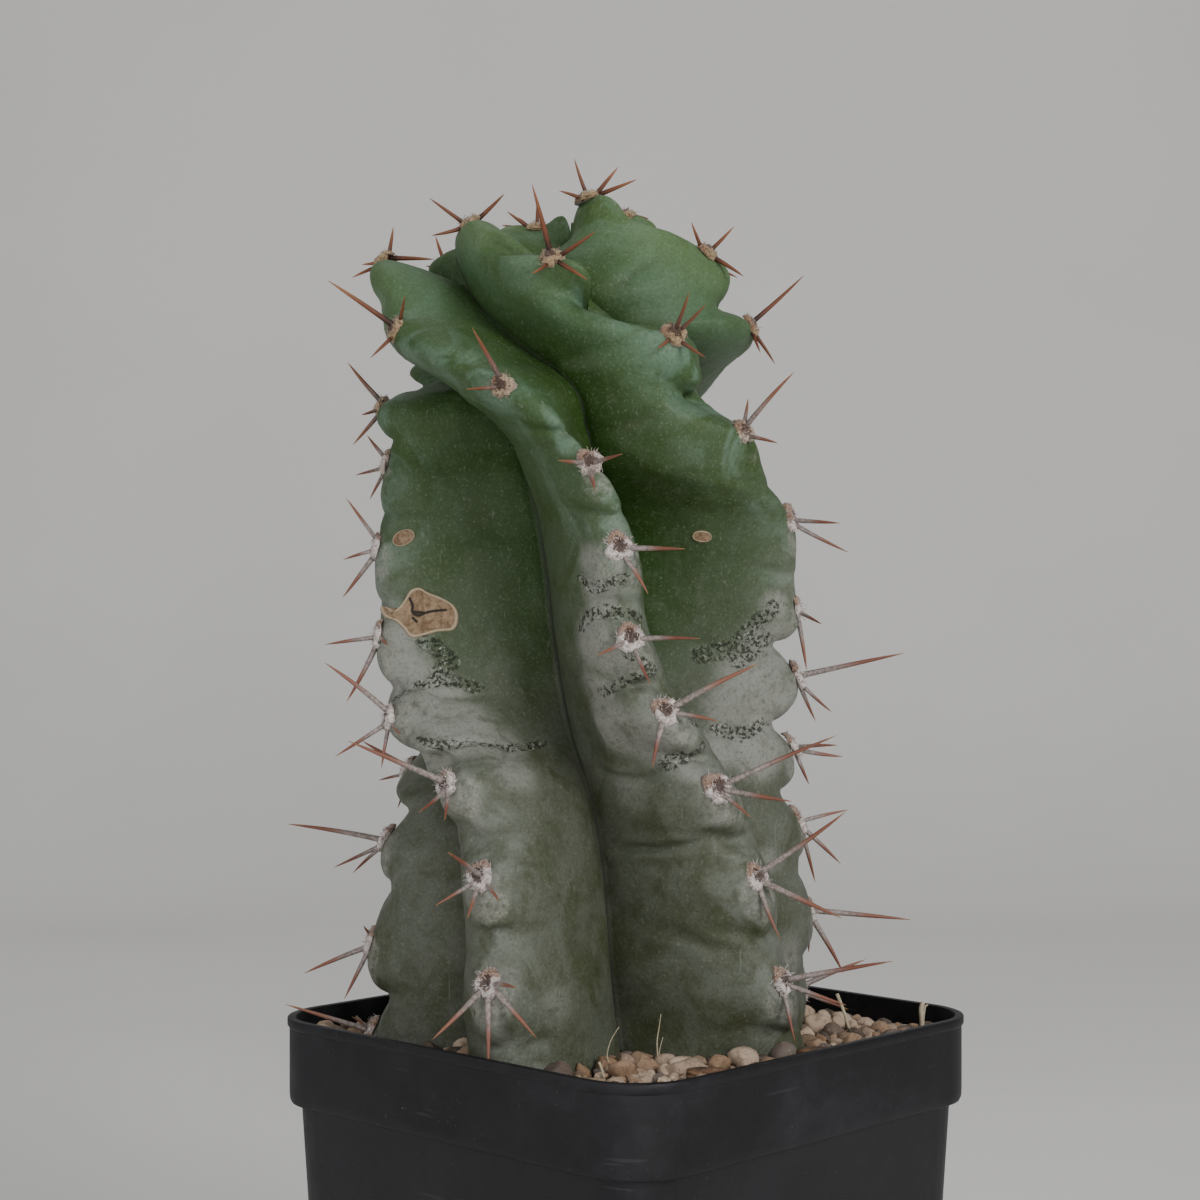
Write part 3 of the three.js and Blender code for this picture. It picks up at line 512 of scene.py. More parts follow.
# Creases seen on the skin, each a line of pixels with its depth and half width in millimetres.
CREASES = [
    [[(596, 766), (612, 775), (640, 780), (664, 768), (680, 752), (688, 744)], 0.9, 0.7],
    [[(612, 853), (630, 848), (660, 850), (690, 844), (706, 836)], 1.2, 0.8],
    [[(462, 931), (485, 932), (516, 924)], 1.0, 0.9],
    [[(440, 806), (462, 824), (480, 850)], 0.6, 1.6],
    [[(587, 297), (622, 283), (650, 262), (672, 246)], 0.5, 1.6],
    [[(600, 690), (620, 694), (648, 680), (660, 668)], 0.7, 0.7],
    [[(700, 640), (735, 652), (762, 640)], 0.6, 0.8],
    [[(720, 722), (745, 734), (766, 727)], 0.7, 0.7],
    [[(388, 690), (415, 690), (450, 700), (480, 696)], 0.7, 0.8],
    [[(418, 742), (440, 746), (480, 742), (512, 752)], 0.6, 0.8],
    [[(660, 925), (700, 945), (740, 955)], 0.7, 1.2],
    [[(560, 830), (575, 850), (584, 880)], 0.4, 0.9],
    [[(687, 389), (657, 415), (620, 430), (583, 437)], 0.5, 1.4],
    [[(523, 452), (545, 447), (567, 433), (590, 428)], 0.5, 1.3],
]

# Speckled borders of the corky patches: lines of pixels and a reach in millimetres.
FLECKS = [
    ([(700, 655), (725, 651), (742, 640), (757, 624), (776, 606)], 2.3),
    ([(736, 664), (752, 652), (768, 640)], 2.0),
    ([(692, 722), (718, 729), (742, 736), (764, 723)], 1.8),
    ([(424, 640), (440, 650), (450, 663), (438, 672)], 2.2),
    ([(392, 702), (425, 684), (452, 681), (480, 690)], 1.7),
    ([(582, 578), (592, 589), (606, 585), (624, 579)], 1.6),
    ([(582, 630), (586, 618), (600, 611), (622, 613), (640, 618)], 1.7),
    ([(600, 693), (616, 686), (632, 678), (650, 670)], 1.4),
    ([(465, 743), (500, 749), (545, 744)], 1.3),
    ([(664, 765), (684, 756), (702, 748)], 2.0),
    ([(622, 655), (640, 660), (655, 672)], 1.3),
    ([(420, 738), (436, 744), (452, 742)], 1.5),
]

# Pale chalky patches: a pixel, a reach in millimetres and a strength.
CHALK = [
    (590, 560, 4, 0.7), (598, 592, 5, 0.9), (592, 640, 6, 1.0), (612, 664, 5, 0.9),
    (600, 694, 6, 0.9), (614, 726, 7, 1.0), (642, 738, 7, 0.9), (668, 744, 6, 0.8),
    (776, 606, 4, 0.8), (768, 648, 7, 1.0), (752, 676, 8, 1.0), (728, 704, 6, 0.9),
    (772, 704, 7, 1.0), (758, 748, 7, 1.0), (716, 752, 5, 0.8), (790, 660, 5, 0.9),
    (396, 640, 6, 0.9), (402, 676, 7, 1.0), (428, 704, 8, 1.0), (462, 728, 8, 1.0),
    (494, 744, 7, 0.8), (434, 758, 6, 0.9), (514, 770, 6, 0.7), (384, 700, 5, 0.9),
    (770, 862, 4, 0.6), (788, 958, 6, 0.7), (716, 800, 6, 0.6), (476, 896, 5, 0.6),
    (490, 990, 6, 0.7), (444, 800, 5, 0.5), (556, 1006, 5, 0.5), (630, 790, 6, 0.5),
]

# Hollows and swellings: a pixel, a reach and a height in millimetres.
RELIEF = [
    (614, 656, 4.0, -1.3), (594, 644, 3.0, 0.7), (596, 676, 3.2, 0.8), (626, 690, 3.5, 0.5),
    (624, 590, 3.2, -0.9), (600, 574, 3.0, 0.4), (606, 610, 3.5, -0.5), (640, 640, 2.5, 0.5),
    (640, 752, 4.5, -1.2), (604, 722, 4.0, 0.8), (612, 752, 3.5, 0.7), (668, 734, 3.5, 0.5),
    (600, 704, 3.0, -0.7), (690, 800, 4.5, -0.8), (660, 812, 5.0, 0.7), (620, 800, 5.0, 0.5),
    (400, 672, 4.5, -0.9), (424, 700, 4.5, 0.8), (470, 716, 6.0, 0.6), (404, 736, 4.0, -0.7),
    (450, 756, 4.5, -1.0), (480, 770, 6.0, 0.7), (474, 812, 4.5, -1.5), (440, 806, 3.5, 0.5),
    (510, 820, 6.0, 0.6), (470, 860, 4.5, 0.5), (484, 930, 4.0, -0.9), (520, 912, 6.0, 0.5),
    (748, 640, 4.5, -0.9), (752, 690, 5.5, 0.9), (716, 706, 5.0, 0.5), (736, 732, 3.5, -0.7),
    (756, 760, 5.5, 0.7), (776, 838, 4.0, -0.7), (712, 846, 5.0, -0.8), (700, 880, 7.0, 0.6),
    (560, 408, 4.5, -0.6), (536, 420, 4.0, 0.5), (600, 500, 4.5, 0.5), (582, 470, 4.0, -0.5),
]


def segment_distance(points, a, b):
    way = b - a
    t = np.clip(((points - a) @ way) / max(way @ way, 1e-9), 0, 1)
    return far_from(points, a + t[:, None] * way), t


def areole_frame(rib, place):
    """An areole's own frame on its crest: where it sits, and the ways across, along and out."""
    def on(p):
        station, turn, reach = crest_at(rib, np.array([p]))
        return stem_point(station, turn, reach - dip_at(rib, np.array([p])))[0]

    station, turn, reach = crest_at(rib, np.array([place]))
    radial = (stem_point(station, turn, reach + 1) - stem_point(station, turn, reach))[0]
    up = unit(on(place + 0.06) - on(place - 0.06))
    across = unit(np.cross(up, radial))
    return on(place), across, up, unit(np.cross(across, up))


def draw_from(seed):
    """A seeded draw between two values, with 32-bit whole numbers."""
    word = 0xFFFFFFFF
    state = seed

    def draw(low, high):
        nonlocal state
        state = (state + 0x6D2B79F5) & word
        t = ((state ^ (state >> 15)) * (1 | state)) & word
        t = (t + (((t ^ (t >> 7)) * (61 | t)) & word)) & word ^ t
        return low + (high - low) * (t ^ (t >> 14)) / 2**32

    return draw


def make_areoles():
    """Every areole's place, frame and spines, in the order of the ribs."""
    draw = draw_from(7)
    found = []
    for rib in RIBS:
        for row in rib:
            if len(row) < 5:
                continue
            at, across, up, out = areole_frame(rib, row[0])
            if row[4]:
                ways = [RIGHT * w[0] + UP * w[1] + TOWARD * w[2] for w in row[4]]
            else:
                ways = [
                    across * (w[0] + draw(-2, 2)) + up * (w[1] + draw(-2, 2)) + out * w[2]
                    for w in USUAL_SPINES
                ]
            frame_ = {"at": at, "across": across, "up": up, "out": out}
            found.append({**frame_, "ways": ways, "place": row[0]})
    return found


AREOLES = make_areoles()


def roughen(points, notch, flanks, places):
    """The skin's grid with its soft unevenness and a groove at each notch."""
    swell = sum(height * waves(points, size, seed) for height, size, seed in SWELLS)
    ripple = RIPPLE_HEIGHT * np.sin(2 * PI * notch) * smooth(flanks, 0.15, 0.5)
    groove = GROOVE_DEPTH * smooth(flanks, 0.02, 0.12) * (1 - smooth(flanks, 0.3, 0.6))
    groove = groove * np.exp(-((notch / GROOVE_WIDTH) ** 2)) * (1 - smooth(places, 6.5, 8.5))
    shift = (swell + ripple) * smooth(flanks, 1.0, 0.9) - groove
    shift = shift - LINE_DEPTH * np.clip((flanks - LINE_START) / (1 - LINE_START), 0, 1)
    return points + grid_normals(points) * shift[..., None]


def press_creases(flat, tree):
    """How far the creases and their lips move each point outward, and how deep in one it is."""
    shift, crease = np.zeros(len(flat)), np.zeros(len(flat))
    for line, depth, width in CREASES:
        best, fade = np.full(len(flat), 1e9), np.zeros(len(flat))
        for k, count, a, b in seen_steps(tree, line):
            far, t = segment_distance(flat, a, b)
            closer = far < best
            best = np.where(closer, far, best)
            swell = np.sin(PI * np.clip((k + t) / count, 0.02, 0.98)) ** 0.6
            fade = np.where(closer, swell, fade)
        cut = fade * np.exp(-((best / width) ** 2))
        lip = fade * np.exp(-(((best / width - LIP_PLACE) / LIP_WIDTH) ** 2))
        shift += depth * (LIP_SHARE * lip - cut)
        crease = np.maximum(crease, cut)
    return shift, crease


def make_skin():
    points, notch, flanks, places = skin_grid(ROWS_PER_AREOLE, STEPS_PER_FLANK)
    rows, columns = notch.shape
    points = roughen(points, notch, flanks, places)
    flat = points.reshape(-1, 3)
    normals = grid_normals(points).reshape(-1, 3)
    faces = grid_faces(rows, columns)
    tree = bvh_of(flat, faces)
    shift, crease = press_creases(flat, tree)
    for far, reach, height in seen_spots(tree, flat, RELIEF):
        shift += height * np.exp(-((far / reach) ** 2))
    fleck, chalk, cork = (np.zeros(len(flat)) for _ in range(3))
    for line, reach in FLECKS:
        for _, _, a, b in seen_steps(tree, line):
            far, _ = segment_distance(flat, a, b)
            fleck = np.maximum(fleck, 1 - smooth(far, 0, reach * 1.3))
    for far, reach, strength in seen_spots(tree, flat, CHALK):
        chalk = np.maximum(chalk, strength * (1 - smooth(far, reach * 0.3, reach * 1.5)))
    for areole in AREOLES:
        old = 1 - smooth(np.array(areole["place"]), *CORK_PLACES)
        far = far_from(flat, areole["at"] - areole["up"] * CORK_DROP)
        cork = np.maximum(cork, mix(CORK_LEAST, 1.0, old) * (1 - smooth(far, *CORK_REACH)))
        shift -= SEAT_DEPTH * np.exp(-((far_from(flat, areole["at"]) / SEAT_REACH) ** 2))
    flat = flat + normals * shift[:, None]
    middle = flat[:columns].mean(axis=0)
    stub = middle + (flat[:columns] - middle) * [STUB_SHARE, STUB_SHARE, 1] - UP * STUB_DEPTH
    top = np.array(DOME_START + DOME_RADIUS * PI / 2)
    apex = stem_point(top, np.array(0.0), np.array(APEX_REACH))
    every = np.concatenate((flat, stub, [stub.mean(axis=0), apex]))
    count = len(flat)
    last = count - columns
    for j in range(columns):
        after = (j + 1) % columns
        faces.append([count + j, count + after, after, j])
        faces.append([count + columns, count + after, count + j])
        faces.append([last + j, last + after, count + columns + 1])
    # Where the furrows get their deeper green and painted shade: everywhere but the pale rib's left
    # flank
    furrow_green_and_shade = np.ones((rows, len(RIBS), columns // len(RIBS)))
    furrow_green_and_shade[:, PALE_FLANK, : STEPS_PER_FLANK + 1] = 0
    pad = np.zeros(columns + 2)
    marks = {"cork": cork, "fleck": fleck, "crease": crease, "chalk": chalk}
    marks["furrow_green_and_shade"] = furrow_green_and_shade.ravel()
    attributes = {key: np.concatenate((values, pad)) for key, values in marks.items()}
    attributes["level"] = (every[:, 2] - POT_HEIGHT) / LEVEL_RANGE
    attributes["flank"] = np.concatenate((flanks.ravel(), pad + 1))
    attributes["place"] = np.concatenate((places.ravel() / LAST_PLACE, pad))
    attributes["place"][-1] = 1
    return mesh_object("stem_skin_surface", every, faces, attributes), bvh_of(every, faces)


# Tubes: spines, wool and dry bits

def tubes(paths, radii, sides, values=None):
    """Closed tubes of equal make. paths is (tube, ring, xyz), radii is (tube, ring)."""
    count, rings, _ = paths.shape
    way = unit(np.gradient(paths, axis=1))
    helper = np.where(np.abs(way[:, :1, 2:]) < 0.8, UP, RIGHT)
    u = unit(np.cross(helper, way))
    v = np.cross(way, u)
    angle = 2 * PI * np.arange(sides) / sides
    ring = (
        u[:, :, None] * np.cos(angle)[None, None, :, None]
        + v[:, :, None] * np.sin(angle)[None, None, :, None]
    )
    body = paths[:, :, None] + ring * radii[:, :, None, None]
    points = body.reshape(-1, 3)
    faces = []
    for k in range(count):
        base = k * rings * sides
        faces += grid_faces(rings, sides, base)
        faces.append([base + s for s in reversed(range(sides))])
        faces.append([base + (rings - 1) * sides + s for s in range(sides)])
    spread = np.broadcast_to(np.linspace(0, 1, rings)[None, :, None], (count, rings, sides))
    kept = {"along": spread.ravel()}
    for key, each in (values or {}).items():
        each = np.broadcast_to(np.asarray(each, float)[:, None, None], (count, rings, sides))
        kept[key] = each.ravel()
    return points, faces, kept


SPINE_RINGS = 12
SPINE_SIDES = 8
SPINE_OFFSET = PAD_RADIUS * 0.5
SPINE_SINK = 0.3
SPINE_BOW = 0.022
SPINE_PROFILE = [[0, 1.25], [0.06, 1.0], [0.3, 0.86], [0.6, 0.66], [0.85, 0.38], [1, 0.06]]


def make_spines():
    draw = np.random.default_rng(11)
    paths, radii, ages, tints = [], [], [], []
    t = np.linspace(0, 1, SPINE_RINGS)
    for areole in AREOLES:
        for way in areole["ways"]:
            length = np.linalg.norm(way)
            axis = way / length
            slide = axis - areole["out"] * (axis @ areole["out"])
            start = areole["at"] + slide * SPINE_OFFSET
            base = start - areole["out"] * SPINE_SINK
            tip = start + axis * (length - SPINE_OFFSET * np.linalg.norm(slide))
            side = unit(np.cross(axis, draw.normal(size=3)))
            bow = length * draw.uniform(0.0, SPINE_BOW)
            path = mix(base, tip, t[:, None]) + side * (bow * 4 * t * (1 - t))[:, None]
            paths.append(path)
            size = SPINE_RADIUS * min(0.6 + length / 30, 1.2) * draw.uniform(0.9, 1.1)
            radii.append(size * along(SPINE_PROFILE, t))
            ages.append(areole["place"] / LAST_PLACE)
            tints.append(draw.uniform())
    kept = {"age": ages, "tint": tints}
    return mesh_object("spines", *tubes(np.array(paths), np.array(radii), SPINE_SIDES, kept))


WOOL_RINGS = 9
WOOL_SIDES = 26
FIBRES = 70
FIBRE_RADII = [0.075, 0.07, 0.06, 0.045, 0.02]


def make_wool():
    """Felted cushions of wool, with pits where old spines and hairs have gone, and loose hairs."""
    draw = np.random.default_rng(5)
    points, faces, pits, ages, caps = [], [], [], [], []
    paths, fibre_ages = [], []
    for areole in AREOLES:
        place = areole["place"]
        old = float(1 - smooth(np.array(place), 5.5, 8.5))
        size = PAD_RADIUS * mix(0.86, 1.02, old) * draw.uniform(0.92, 1.06)
        angle = 2 * PI * np.arange(WOOL_SIDES) / WOOL_SIDES
        r = np.linspace(0.12, 1, WOOL_RINGS)[:, None]
        ragged = 1 + 0.1 * np.sin(angle * 3 + draw.uniform(0, 6))
        ragged = ragged + 0.06 * draw.normal(size=WOOL_SIDES)
        dome = np.sqrt(np.clip(1 - r**2, 0, 1)) ** 0.7
        lumps = draw.normal(size=(WOOL_RINGS, WOOL_SIDES)) * 0.16
        hollow = 0.55 * old * np.exp(-((r / 0.45) ** 2))
        height = PAD_HEIGHT * (dome * 1.1 - hollow) + lumps - 0.5
        spread = r * ragged * size
        flat_x = spread * np.cos(angle) * 0.96
        flat_y = spread * np.sin(angle) * 1.08
        body = (
            areole["at"]
            + flat_x[..., None] * areole["across"]
            + flat_y[..., None] * areole["up"]
            + height[..., None] * areole["out"]
        )
        base = sum(len(p) for p in points)
        middle = areole["at"] + areole["out"] * height[0].mean()
        rings = np.concatenate((body[::-1].reshape(-1, 3), [middle]))
        points.append(rings)
        faces += grid_faces(WOOL_RINGS, WOOL_SIDES, base)
        last = base + (WOOL_RINGS - 1) * WOOL_SIDES
        top = base + WOOL_RINGS * WOOL_SIDES
        for s in range(WOOL_SIDES):
            faces.append([last + s, last + (s + 1) % WOOL_SIDES, top])
        faces.append([base + s for s in reversed(range(WOOL_SIDES))])
        pit = np.clip(1 - r / 0.6, 0, 1) + 0.35 * draw.uniform(size=lumps.shape)
        pits += [*pit[::-1].ravel(), 1.0]
        caps += [*(flat_y / size)[::-1].ravel(), 0.0]
        ages += [place / LAST_PLACE] * len(rings)
        for _ in range(FIBRES):
            turn = draw.uniform(0, 2 * PI)
            far = size * math.sqrt(draw.uniform(0.1, 1.0))
            foot = areole["across"] * math.cos(turn) * far + areole["up"] * math.sin(turn) * far
            lift = areole["out"] * (PAD_HEIGHT * (1 - (far / size) ** 2) * 0.8 - 0.2)
            lean = foot * 0.25 + areole["out"] * draw.uniform(0.2, 1.0)
            lean = unit(lean + draw.normal(size=3) * 0.8)
            curl = unit(np.cross(lean, draw.normal(size=3)))
            long = draw.uniform(0.4, 1.2)
            t = np.linspace(0, 1, len(FIBRE_RADII))[:, None]
            paths.append(areole["at"] + foot + lift + lean * long * t + curl * long * 0.45 * t**2)
            fibre_ages.append(place / LAST_PLACE)
    cushions = mesh_object(
        "areole_wool", np.concatenate(points), faces, {"pit": pits, "age": ages, "cap": caps}
    )
    paths = np.array(paths)
    thin = np.array(FIBRE_RADII) * np.ones((len(paths), 1))
    hairs = mesh_object("areole_hairs", *tubes(paths, thin, 3, {"age": fibre_ages}))
    return cushions, hairs


# The pot

def square_ring(half, corner, level, steps=CORNER_STEPS):
    ring = []
    for quarter in range(4):
        middle = PI / 4 + PI / 2 * quarter
        inset = (half - corner) * math.sqrt(2)
        for i in range(steps + 1):
            angle = PI / 2 * (quarter + i / steps)
            ring.append(
                (
                    inset * math.cos(middle) + corner * math.cos(angle),
                    inset * math.sin(middle) + corner * math.sin(angle),
                    level,
                )
            )
    return ring


def wall_at(level):
    share = level / (POT_HEIGHT - BAND_HEIGHT)
    return (
        mix(POT_HALF_BASE, POT_HALF_TOP - LIP_OUT - BAND_STEP, share),
        mix(POT_CORNER_BASE, POT_CORNER_TOP - BAND_STEP, share),
    )


def inner_rings(margin):
    band_level = POT_HEIGHT - BAND_HEIGHT
    inset = WALL + margin
    half_low, corner_low = wall_at(FLOOR)
    half_high, corner_high = wall_at(band_level)
    half_band = POT_HALF_TOP - LIP_OUT - inset
    return [
        (half_low - inset, corner_low - inset, FLOOR + margin),
        (half_high - inset, corner_high - inset, band_level + 0.5),
        (half_band - 0.5, POT_CORNER_TOP - inset - 0.5, band_level + 2.5),
        (half_band, POT_CORNER_TOP - inset, POT_HEIGHT),
    ]


def loft(rings, first, last):
    count = len(rings[0])
    points = [first] + [p for ring in rings for p in ring] + [last]
    faces = []
    for i in range(count):
        j = (i + 1) % count
        faces.append([0, 1 + j, 1 + i])
        for r in range(len(rings) - 1):
            low, high = 1 + r * count, 1 + (r + 1) * count
            faces.append([low + i, low + j, high + j, high + i])
        top = 1 + (len(rings) - 1) * count
        faces.append([top + i, top + j, len(points) - 1])
    return points, faces


def make_pot():
    band_level = POT_HEIGHT - BAND_HEIGHT
    band = POT_HALF_TOP - LIP_OUT
    half_high, corner_high = wall_at(band_level)
    outer = [
        (POT_HALF_BASE - 1, POT_CORNER_BASE - 1, 0),
        (POT_HALF_BASE - 0.3, POT_CORNER_BASE - 0.3, 0.3),
        (POT_HALF_BASE, POT_CORNER_BASE, 1),
        (half_high, corner_high, band_level - 0.25),
        (half_high + 0.2, corner_high, band_level),
        (band - 0.9, POT_CORNER_TOP - 1.2, band_level),
        (band - 0.4, POT_CORNER_TOP - 0.8, band_level + 0.25),
        (band - 0.1, POT_CORNER_TOP - 0.5, band_level + 0.9),
        (band, POT_CORNER_TOP - LIP_OUT, band_level + 2.2),
        (band, POT_CORNER_TOP - LIP_OUT, POT_HEIGHT - LIP_HEIGHT - 0.4),
        (POT_HALF_TOP - 0.06, POT_CORNER_TOP, POT_HEIGHT - LIP_HEIGHT),
        (POT_HALF_TOP, POT_CORNER_TOP, POT_HEIGHT - LIP_HEIGHT + 0.15),
        (POT_HALF_TOP, POT_CORNER_TOP, POT_HEIGHT - 0.25),
        (POT_HALF_TOP - 0.08, POT_CORNER_TOP, POT_HEIGHT - 0.08),
        (POT_HALF_TOP - 0.25, POT_CORNER_TOP, POT_HEIGHT),
    ]
    inner = inner_rings(0)[::-1]
    top = inner[0]
    inner = [
        (top[0] + 0.2, top[1], POT_HEIGHT),
        (top[0] + 0.05, top[1], POT_HEIGHT - 0.08),
        (top[0], top[1], POT_HEIGHT - 0.25),
    ] + inner[1:]
    rings = [square_ring(*ring) for ring in outer + inner]
    points, faces = loft(rings, (0, 0, 0), (0, 0, FLOOR))
    pot = mesh_object("nursery_pot", points, faces)
    cutters = []
    for i in range(4):
        for x, y in ((DRAIN_CORNER, DRAIN_CORNER), (DRAIN_SIDE, 0)):
            middle = turned([x, y, 0], PI / 2 * i)
            around = [
                middle + [DRAIN_RADIUS * math.cos(a), DRAIN_RADIUS * math.sin(a), 0]
                for a in np.linspace(0, 2 * PI, 24, endpoint=False)
            ]
            low, high = UP * -3, UP * 6
            rings = [[p + low for p in around], [p + high for p in around]]
            cutters.append(mesh_object("drain", *loft(rings, middle + low, middle + high)))
    for cutter in cutters:
        cut = pot.modifiers.new("drain", "BOOLEAN")
        cut.object = cutter
        cut.solver = "EXACT"
    graph = bpy.context.evaluated_depsgraph_get()
    finished = bpy.data.meshes.new_from_object(pot.evaluated_get(graph))
    pot.modifiers.clear()
    pot.data = finished
    for cutter in cutters:
        bpy.data.objects.remove(cutter)
    finished.polygons.foreach_set("use_smooth", [True] * len(finished.polygons))
    finished.set_sharp_from_angle(angle=math.radians(38))
    return pot


# The mix and what lies on it

def icosphere(levels):
    """The points and triangles of a round ball of radius 1."""
    g = (1 + 5**0.5) / 2
    points = [(-1, g, 0), (1, g, 0), (-1, -g, 0), (1, -g, 0), (0, -1, g), (0, 1, g)]
    points += [(0, -1, -g), (0, 1, -g), (g, 0, -1), (g, 0, 1), (-g, 0, -1), (-g, 0, 1)]
    faces = [(0, 11, 5), (0, 5, 1), (0, 1, 7), (0, 7, 10), (0, 10, 11), (1, 5, 9), (5, 11, 4)]
    faces += [(11, 10, 2), (10, 7, 6), (7, 1, 8), (3, 9, 4), (3, 4, 2), (3, 2, 6), (3, 6, 8)]
    faces += [(3, 8, 9), (4, 9, 5), (2, 4, 11), (6, 2, 10), (8, 6, 7), (9, 8, 1)]
    points = [unit(np.array(p, float)) for p in points]
    for _ in range(levels):
        middle = {}

        def halfway(a, b):
            key = (min(a, b), max(a, b))
            if key not in middle:
                middle[key] = len(points)
                points.append(unit(points[a] + points[b]))
            return middle[key]

        finer = []
        for a, b, c in faces:
            ab, bc, ca = halfway(a, b), halfway(b, c), halfway(c, a)
            finer += [(a, ab, ca), (b, bc, ab), (c, ca, bc), (ab, bc, ca)]
        faces = finer
    return np.array(points), np.array(faces)
LYING_SHARE = 0.7

def stones(places, sizes, kinds, levels, seed, name, cuts=9):
    """Worn broken stones: balls cut by planes and roughened, each with its own tint."""
    draw = np.random.default_rng(seed)
    ball, triangles = icosphere(levels)
    points, faces, tints, shades = [], [], [], []
    for where, size, kind in zip(places, sizes, kinds):
        body = ball.copy()
        for _ in range(cuts):
            way = unit(draw.normal(size=3))
            over = np.maximum(body @ way - draw.uniform(0.5, 0.85), 0)
            body = body - over[:, None] * way * 0.92
        body = body * draw.uniform([0.85, 0.75, 0.6], [1.25, 1.0, 0.85])
        body = body * (1 + 0.06 * waves(body, 0.9, int(draw.integers(1e6)), 2))[:, None]
        turn = draw.normal(size=(3, 3))
        turn, _ = np.linalg.qr(turn)
        flat = draw.uniform() < LYING_SHARE
        body = turned(body, kind * 40) if flat else body @ turn.T
        faces.append(triangles + len(ball) * len(points))
        points.append(body * size + where)
        tints += [kind] * len(ball)
        shades += [draw.uniform()] * len(ball)
    kept = {"tint": tints, "shade": shades}
    return mesh_object(name, np.concatenate(points), np.concatenate(faces).tolist(), kept)


def in_pot(x, y, margin):
    half, corner, _ = inner_rings(margin)[-1]
    inset = half - corner
    outside = math.hypot(max(abs(x) - inset, 0), max(abs(y) - inset, 0))
    return outside < corner and abs(x) < half and abs(y) < half


def foot_reach(foot, x, y):
    """How far a point on the mix lies outside the stem's foot, negative inside."""
    middle = foot.mean(axis=0)
    angle = np.arctan2(foot[:, 1] - middle[1], foot[:, 0] - middle[0])
    reach = np.hypot(foot[:, 0] - middle[0], foot[:, 1] - middle[1])
    own = math.atan2(y - middle[1], x - middle[0])
    near = np.argmin(np.abs(np.angle(np.exp(1j * (angle - own)))))
    return math.hypot(x - middle[0], y - middle[1]) - reach[near]


# Stones that show: a pixel, a radius in millimetres and a tint from 0, pale, to 1, dark.
SEEN_STONES = [
    (684, 1070, 3.7, 0.1), (664, 1072, 2.0, 0.25), (645, 1066, 2.9, 0.55), (620, 1072, 3.1, 0.62),
    (624, 1062, 2.2, 0.3), (644, 1080, 1.6, 0.05), (666, 1081, 1.4, 0.05), (599, 1077, 1.5, 0.1),
    (703, 1072, 1.7, 0.2), (719, 1065, 3.0, 0.5), (742, 1061, 3.3, 0.12), (763, 1056, 1.8, 0.1),
    (672, 1054, 2.0, 0.85), (734, 1050, 1.8, 0.7), (806, 1013, 2.2, 0.3), (822, 1026, 3.2, 0.06),
    (838, 1024, 2.4, 0.15), (816, 1048, 2.2, 0.5), (834, 1043, 1.7, 0.15), (853, 1028, 1.8, 0.2),
    (866, 1022, 2.0, 0.25), (850, 1012, 1.8, 0.6), (826, 1006, 1.9, 0.65), (905, 1022, 1.5, 0.1),
    (340, 1020, 2.2, 0.6), (326, 1028, 2.0, 0.7), (356, 1032, 1.8, 0.55), (372, 1030, 1.7, 0.75),
]


# The stones that fill the rest, from the larger to the smaller: the radii, how many are tried,
# and how close two may lie as a share of their radii. Crumbs lie anywhere.
STONE_SIZES = [((2.2, 3.6), 2500, 0.72), ((1.3, 2.2), 5000, 0.62)]
CRUMB_SIZES = (0.5, 1.2)
CRUMB_TRIES = 1500
SCATTER_HALF = 48


def on_mix(px, py, level):
    """The point on a level of the mix that shows at a pixel."""
    way = sight(px, py)
    return EYE + way * (POT_HEIGHT + level - EYE[2]) / way[2]


def make_grit(foot):
    """The stones that show, then others of two sizes wherever there is room, then crumbs."""
    draw = np.random.default_rng(29)
    large, small = [], []
    for px, py, radius, kind in SEEN_STONES:
        where = on_mix(px, py, MIX_LEVEL + radius * 0.3)
        if in_pot(where[0], where[1], radius * 0.8) and foot_reach(foot, where[0], where[1]) > 0:
            large.append((where, radius, kind))
    for radii, tries, share in STONE_SIZES:
        for _ in range(tries):
            radius = draw.uniform(*radii)
            x, y = draw.uniform(-SCATTER_HALF, SCATTER_HALF, 2)
            if not in_pot(x, y, radius) or foot_reach(foot, x, y) < radius * 0.2:
                continue
            if all(math.hypot(x - p[0], y - p[1]) > share * (radius + c) for p, c, _ in large):
                level = POT_HEIGHT + MIX_LEVEL + radius * draw.uniform(-0.25, 0.3)
                large.append((np.array([x, y, level]), radius, draw.uniform() ** 0.8))
    for _ in range(CRUMB_TRIES):
        x, y = draw.uniform(-SCATTER_HALF, SCATTER_HALF, 2)
        radius = draw.uniform(*CRUMB_SIZES)
        if in_pot(x, y, radius) and foot_reach(foot, x, y) > 0:
            level = POT_HEIGHT + MIX_LEVEL + draw.uniform(-0.4, 0.6)
            small.append((np.array([x, y, level]), radius, draw.uniform()))
    return stones(*zip(*large), 2, 3, "grit_stones"), stones(*zip(*small), 1, 4, "grit_crumbs", 5)


def make_soil():
    """The mix itself, rough on top, down to the pot's floor."""
    rings = inner_rings(GAP)
    top = POT_HEIGHT + MIX_LEVEL
    half, corner, _ = rings[-1]
    sides = [square_ring(*ring, 8) for ring in rings[:-1]]
    steps = 44
    for k in range(steps):
        share = 1 - k / steps
        sides.append(square_ring(half * share, corner * share, top, 8))
    points, faces = loft(sides, (0, 0, FLOOR + GAP), (0, 0, top))
    points = np.array(points, float)
    upper = points[:, 2] > top - 0.1
    points[upper, 2] += 0.8 * waves(points[upper], 5, 8) + 0.35 * waves(points[upper], 1.7, 9) - 0.9
    return mesh_object("soil", points, faces)


# The chips: a name, the node each stands for, its place to the right and toward the viewer, its
# turn in degrees and its size.
CHIPS = [
    ("bark_1", "bark_chip_1", 13.7, 40, 8, (9, 4.5, 2.4)),
    ("bark_2", "bark_chip_2", 35.5, 21, -12, (9.5, 5, 2.2)),
]


